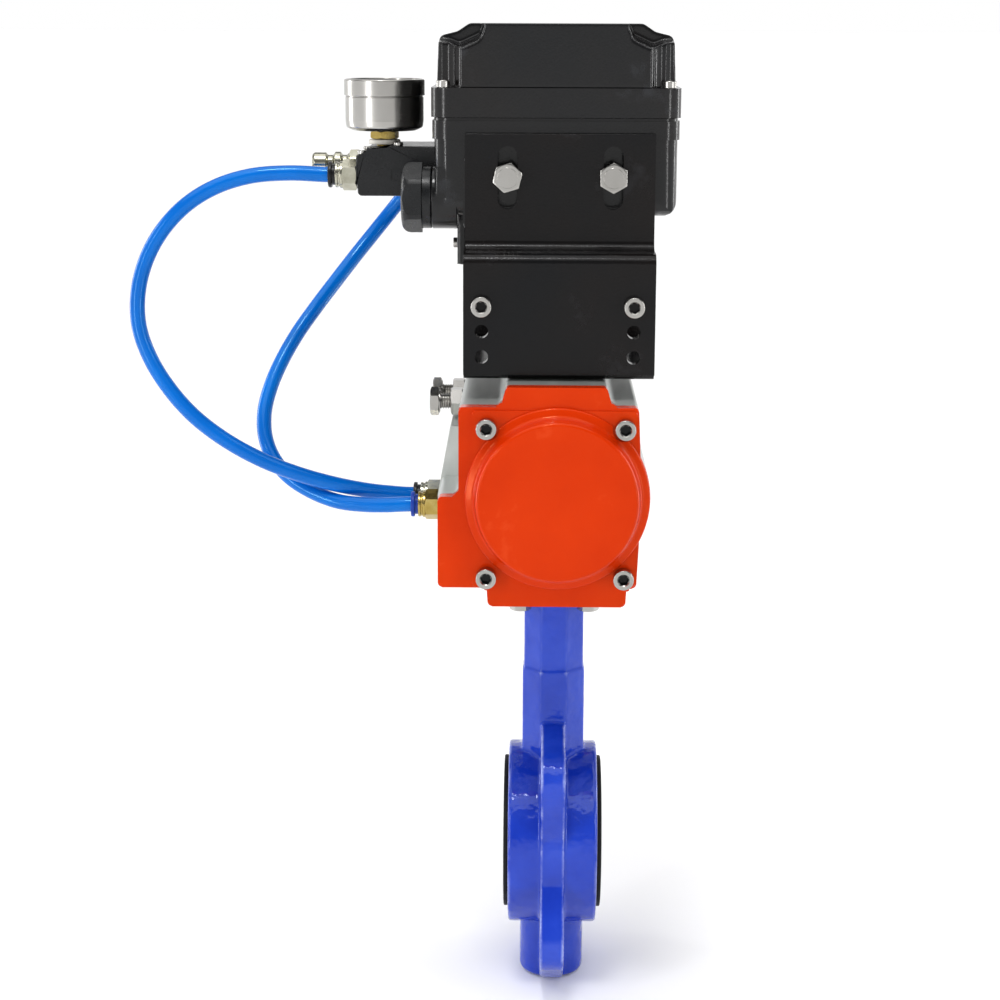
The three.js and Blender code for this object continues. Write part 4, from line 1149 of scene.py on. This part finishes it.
def build_gauge():
    z = GAUGE_LOW.z
    show(gauge_shell(), "gauge_case_pressed", "stainless_steel", "gauge_case")
    dial = lathe([(2.3, z + 14.3), (GAUGE_R - 2.7, z + 14.3), (GAUGE_R - 2.7, z + 15.1), (2.3, z + 15.1),
                  (2.3, z + 14.3)], "z", GAUGE_AT)
    show(dial, "gauge_dial_plate", "dial_face", "gauge_dial")
    show(dial_marks(), "gauge_dial_marks", "black_plastic")
    show(dial_numbers(), "gauge_dial_numbers", "black_plastic")
    lens = rounded([(0, z + 22, 0), (GAUGE_R - 2.7, z + 22, 0.2), (GAUGE_R - 2.7, z + 23.8, 0.4),
                    (GAUGE_R - 8, z + 24.4, 12), (0, z + 24.6, 0)], closed=False)
    show(lathe(lens, "z", GAUGE_AT), "gauge_lens_disc", "glass", "gauge_lens")
    show(pointer(), "gauge_pointer_needle", "black_plastic", "gauge_pointer", "gauge_pointer")
    show(gauge_stem(), "gauge_stem_turned", "brass", "gauge_stem")
    low, high = BLOCK_HIGH.z + GAP, z - 4.6
    ring = rounded([(4.3, low, 0), (8.4, low, 0.5), (8.0, high, 0.8), (4.3, high, 0)])
    show(lathe(ring + ring[:1], "z", GAUGE_AT, 48), "gauge_seal", "bearing_polymer")


def earth_lug():
    """A cast lug under the housing's left side, with an earthing screw."""
    lug = block((-51.5, -45.8), (-2, 14), (TOP_Z + 49.5, HOUSE_BOTTOM + 1), 0.8, 2)
    screw = placed(socket_screw(2.6, 2.2, 2.5, 1.5, 3), (-51.6, 6, TOP_Z + 60), "left")
    show(lug, "earth_lug", "black_casting")
    show(screw, "earth_screw", "stainless_steel")


def block_screws():
    """Screws that hold the port block's cover."""
    screw = socket_screw(2.4, 1.9, 2, 1.5, 4)
    left, top = BLOCK_LOW.x, BLOCK_HIGH.z
    places = [(left + 2.9, BLOCK_LOW.y + 4, top - 4.2), (left + 21.5, BLOCK_LOW.y + 5, top + 0.05),
              (left + 2.9, BLOCK_HIGH.y - 5, top - 4.2)]
    for k, place in enumerate(places, start=1):
        show(moved(copied(screw), *place), f"block_screw_{k}", "stainless_steel")
    discard(screw)


def bevelled_node(node, width):
    """A copy of a CAD node with its edges rounded, in millimetres."""
    bm = bmesh.new()
    bm.from_mesh(frame["nodes"][node].data)
    bm.transform(Matrix.Scale(1 / MM, 4))
    bmesh.ops.remove_doubles(bm, verts=bm.verts, dist=1e-3)
    bmesh.ops.dissolve_limit(bm, angle_limit=math.radians(1), verts=bm.verts, edges=bm.edges)
    return softened(to_object(bm), width, 32)


def build_positioner():
    show(housing_casting(), "positioner_housing_casting", "black_casting", "positioner_housing")
    show(lid_casting(), "positioner_lid_casting", "black_casting", "positioner_lid", smooth=32)
    lid_screws()
    show(port_block(), "port_block_machined", "black_plastic", "port_block")
    block_screws()
    show(conduit_plug(), "conduit_plug_moulded", "black_plastic", "conduit_plug")
    build_gauge()
    earth_lug()
    show(bevelled_node("positioner_spindle", 0.4), "positioner_spindle_turned", "stainless_steel",
         "positioner_spindle", "spindle")
    show(bevelled_node("feedback_fork", 0.6), "feedback_fork_milled", "stainless_steel", "feedback_fork",
         "drive_train")
    show(bevelled_node("torque_motor", 0.8), "torque_motor_case", "anodised_aluminium", "torque_motor")


# ---- fittings ----

def fitting():
    """A push-in fitting along +Z: a thread below z = 0, a hexagon, and a barrel up to its mouth."""
    profile = [(0, -10)] + threaded(4.8, -10, 0.5, 1.0) + [(0, 0.5)]
    barrel = rounded([
        (0, 7.6, 0), (6.9, 7.6, 0.2), (6.9, 9.0, 0.3), (6.2, 9.4, 0.3), (6.2, 10.0, 0.3), (6.6, 10.3, 0.3),
        (6.6, MOUTH, 0.3), (0, MOUTH, 0),
    ], closed=False, steps=3)
    body = joined(lathe(profile, "z", sides=48), hex_piece(14, "z", GAP, 8), lathe(barrel, "z", sides=64))
    return carved(body, rod("z", 5.6, 4, MOUTH + 1), rod("z", 3, -12, 5, sides=32))


def release_collar():
    """The ring that is pushed in to free the tube."""
    low = MOUTH + GAP + COLLAR_TRAVEL
    profile = rounded([(4.2, 6.5, 0), (5.3, 6.5, 0), (5.3, low, 0.2), (6.6, low, 0.4), (6.6, low + 2, 0.7),
                       (4.9, low + 2, 0.5), (4.2, low + 1, 0.3)], steps=4)
    return lathe(profile + profile[:1], "z", sides=64)


def supply_nipple():
    """A quick-coupling plug: hexagon at the block, then the grooved nose."""
    nose = rounded([
        (2.6, -10, 0), (4.8, -10, 0), (4.8, 5.8, 0), (5.6, 6.2, 0.3), (4.4, 7.4, 0.8), (4.4, 9.6, 0.8),
        (6, 10.6, 0.4), (6, 13.4, 0.4), (4.3, 14.6, 0.8), (4.3, 17.2, 0.8), (5.6, 18.3, 0.4),
        (5.6, 24.2, 0.8), (4.8, 25.4, 0.4), (2.6, 25.4, 0.3),
    ], steps=3)
    return joined(lathe(nose + nose[:1], "z", sides=64),
                  carved(hex_piece(12.4, "z", GAP, 6), rod("z", 3.4, -1, 8)))


def build_fittings():
    plan = {
        "outlet_front": ("nickel", "black_plastic", (BLOCK_LOW.x, None, None), "left"),
        "outlet_rear": ("nickel", "black_plastic", (None, BLOCK_HIGH.y, None), "rear"),
        "port_front": ("brass", "blue_plastic", (PORT_FACE, None, None), "left"),
        "port_rear": ("nickel", "black_plastic", (PORT_FACE, None, None), "left"),
    }
    for name, (metal, plastic, face, facing) in plan.items():
        centre = middle(*span(f"{name}_collar"))
        place = [given if given is not None else own for given, own in zip(face, centre)]
        show(placed(fitting(), place, facing), f"{name}_fitting_turned", metal, f"{name}_fitting")
        show(placed(release_collar(), place, facing), f"{name}_collar_moulded", plastic, f"{name}_collar",
             f"{name}_collar")
    supply = middle(*span("supply_nipple"))
    nipple = placed(supply_nipple(), (BLOCK_LOW.x, supply.y, supply.z), "left")
    show(nipple, "supply_nipple_turned", "nickel", "supply_nipple")


# ---- CAD nodes that stay ----

def dress_nodes():
    """Gives each CAD node the procedural material of its slot."""
    for part in frame["record"]["subparts"]:
        node = frame["nodes"][part["node"]]
        node.data.materials.clear()
        node.data.materials.append(MATERIALS[part["material_slot"]])


# ---- studio ----

def pale_floor():
    tones = [(0.925,) * 3, (0.93,) * 3, (0.935,) * 3]
    material = surface("studio_floor", tones, 0.5, (0.85, 0.9), 0.01, 0.01, Specular_IOR_Level=0.1)
    bm = bmesh.new()
    bmesh.ops.create_grid(bm, x_segments=8, y_segments=8, size=120)
    floor = to_object(bm)
    floor.name = "floor"
    floor.location.z = cad_low.z - 0.0005
    floor.data.materials.append(material)


def softbox(name, place, target, size, watts):
    data = bpy.data.lights.new(name, "AREA")
    data.shape = "RECTANGLE"
    data.size, data.size_y = size
    data.energy = watts
    light = added(name, data)
    light.location = place
    light.rotation_euler = (Vector(target) - Vector(place)).to_track_quat("-Z", "Y").to_euler()


def overhead(name, strength, angle, lean):
    """A light from the ceiling, even over the whole floor, angle degrees wide and leaning by lean degrees."""
    data = bpy.data.lights.new(name, "SUN")
    data.energy = strength
    data.angle = math.radians(angle)
    sun = added(name, data)
    sun.rotation_euler = (math.radians(lean), math.radians(-6), 0)


def room():
    """A dim room whose walls are pale near the floor, and lower so behind the photographer."""
    world = bpy.data.worlds.new("room")
    world.use_nodes = True
    tree = world.node_tree
    place = linked(tree, "ShaderNodeTexCoord").outputs["Generated"]
    direction = linked(tree, "ShaderNodeSeparateXYZ", Vector=place).outputs
    walls = ramp(tree, direction["Z"], [(0.0, (1,) * 3), (0.45, (0.95,) * 3), (0.65, (0.2,) * 3)])
    behind = ramp(tree, direction["Z"], [(0.04, (1,) * 3), (0.2, (0.25,) * 3)])
    facing = linked(tree, "ShaderNodeMapRange", Value=direction["Y"], From_Min=-0.85, From_Max=-0.3)
    colour = blended(tree, facing.outputs["Result"], behind, walls)
    tree.links.new(colour, tree.nodes["Background"].inputs["Color"])
    bpy.context.scene.world = world


# Upright strip lights: name, place on the floor, width and power.
STRIPS = [
    ("key", -0.95, -0.95, 0.14, 5),
    ("fill", 1.1, -0.9, 0.1, 3.5),
    ("rear_left", -1.15, 0.45, 0.16, 4),
    ("rear_right", 1.15, 0.5, 0.16, 4),
]


def build_studio():
    pale_floor()
    room()
    overhead("ceiling", 1.8, 75, 8)
    overhead("ceiling_lamp", 0.7, 10, 22)
    for name, x, y, width, watts in STRIPS:
        softbox(name, (x, y, 0.42), (-0.03, 0, 0.42), (width, 0.96), watts)
    bpy.context.scene.view_settings.view_transform = "Standard"


make_camera()
build_tubes()
build_valve()
build_actuator()
build_bracket()
build_positioner()
build_fittings()
dress_nodes()
build_studio()
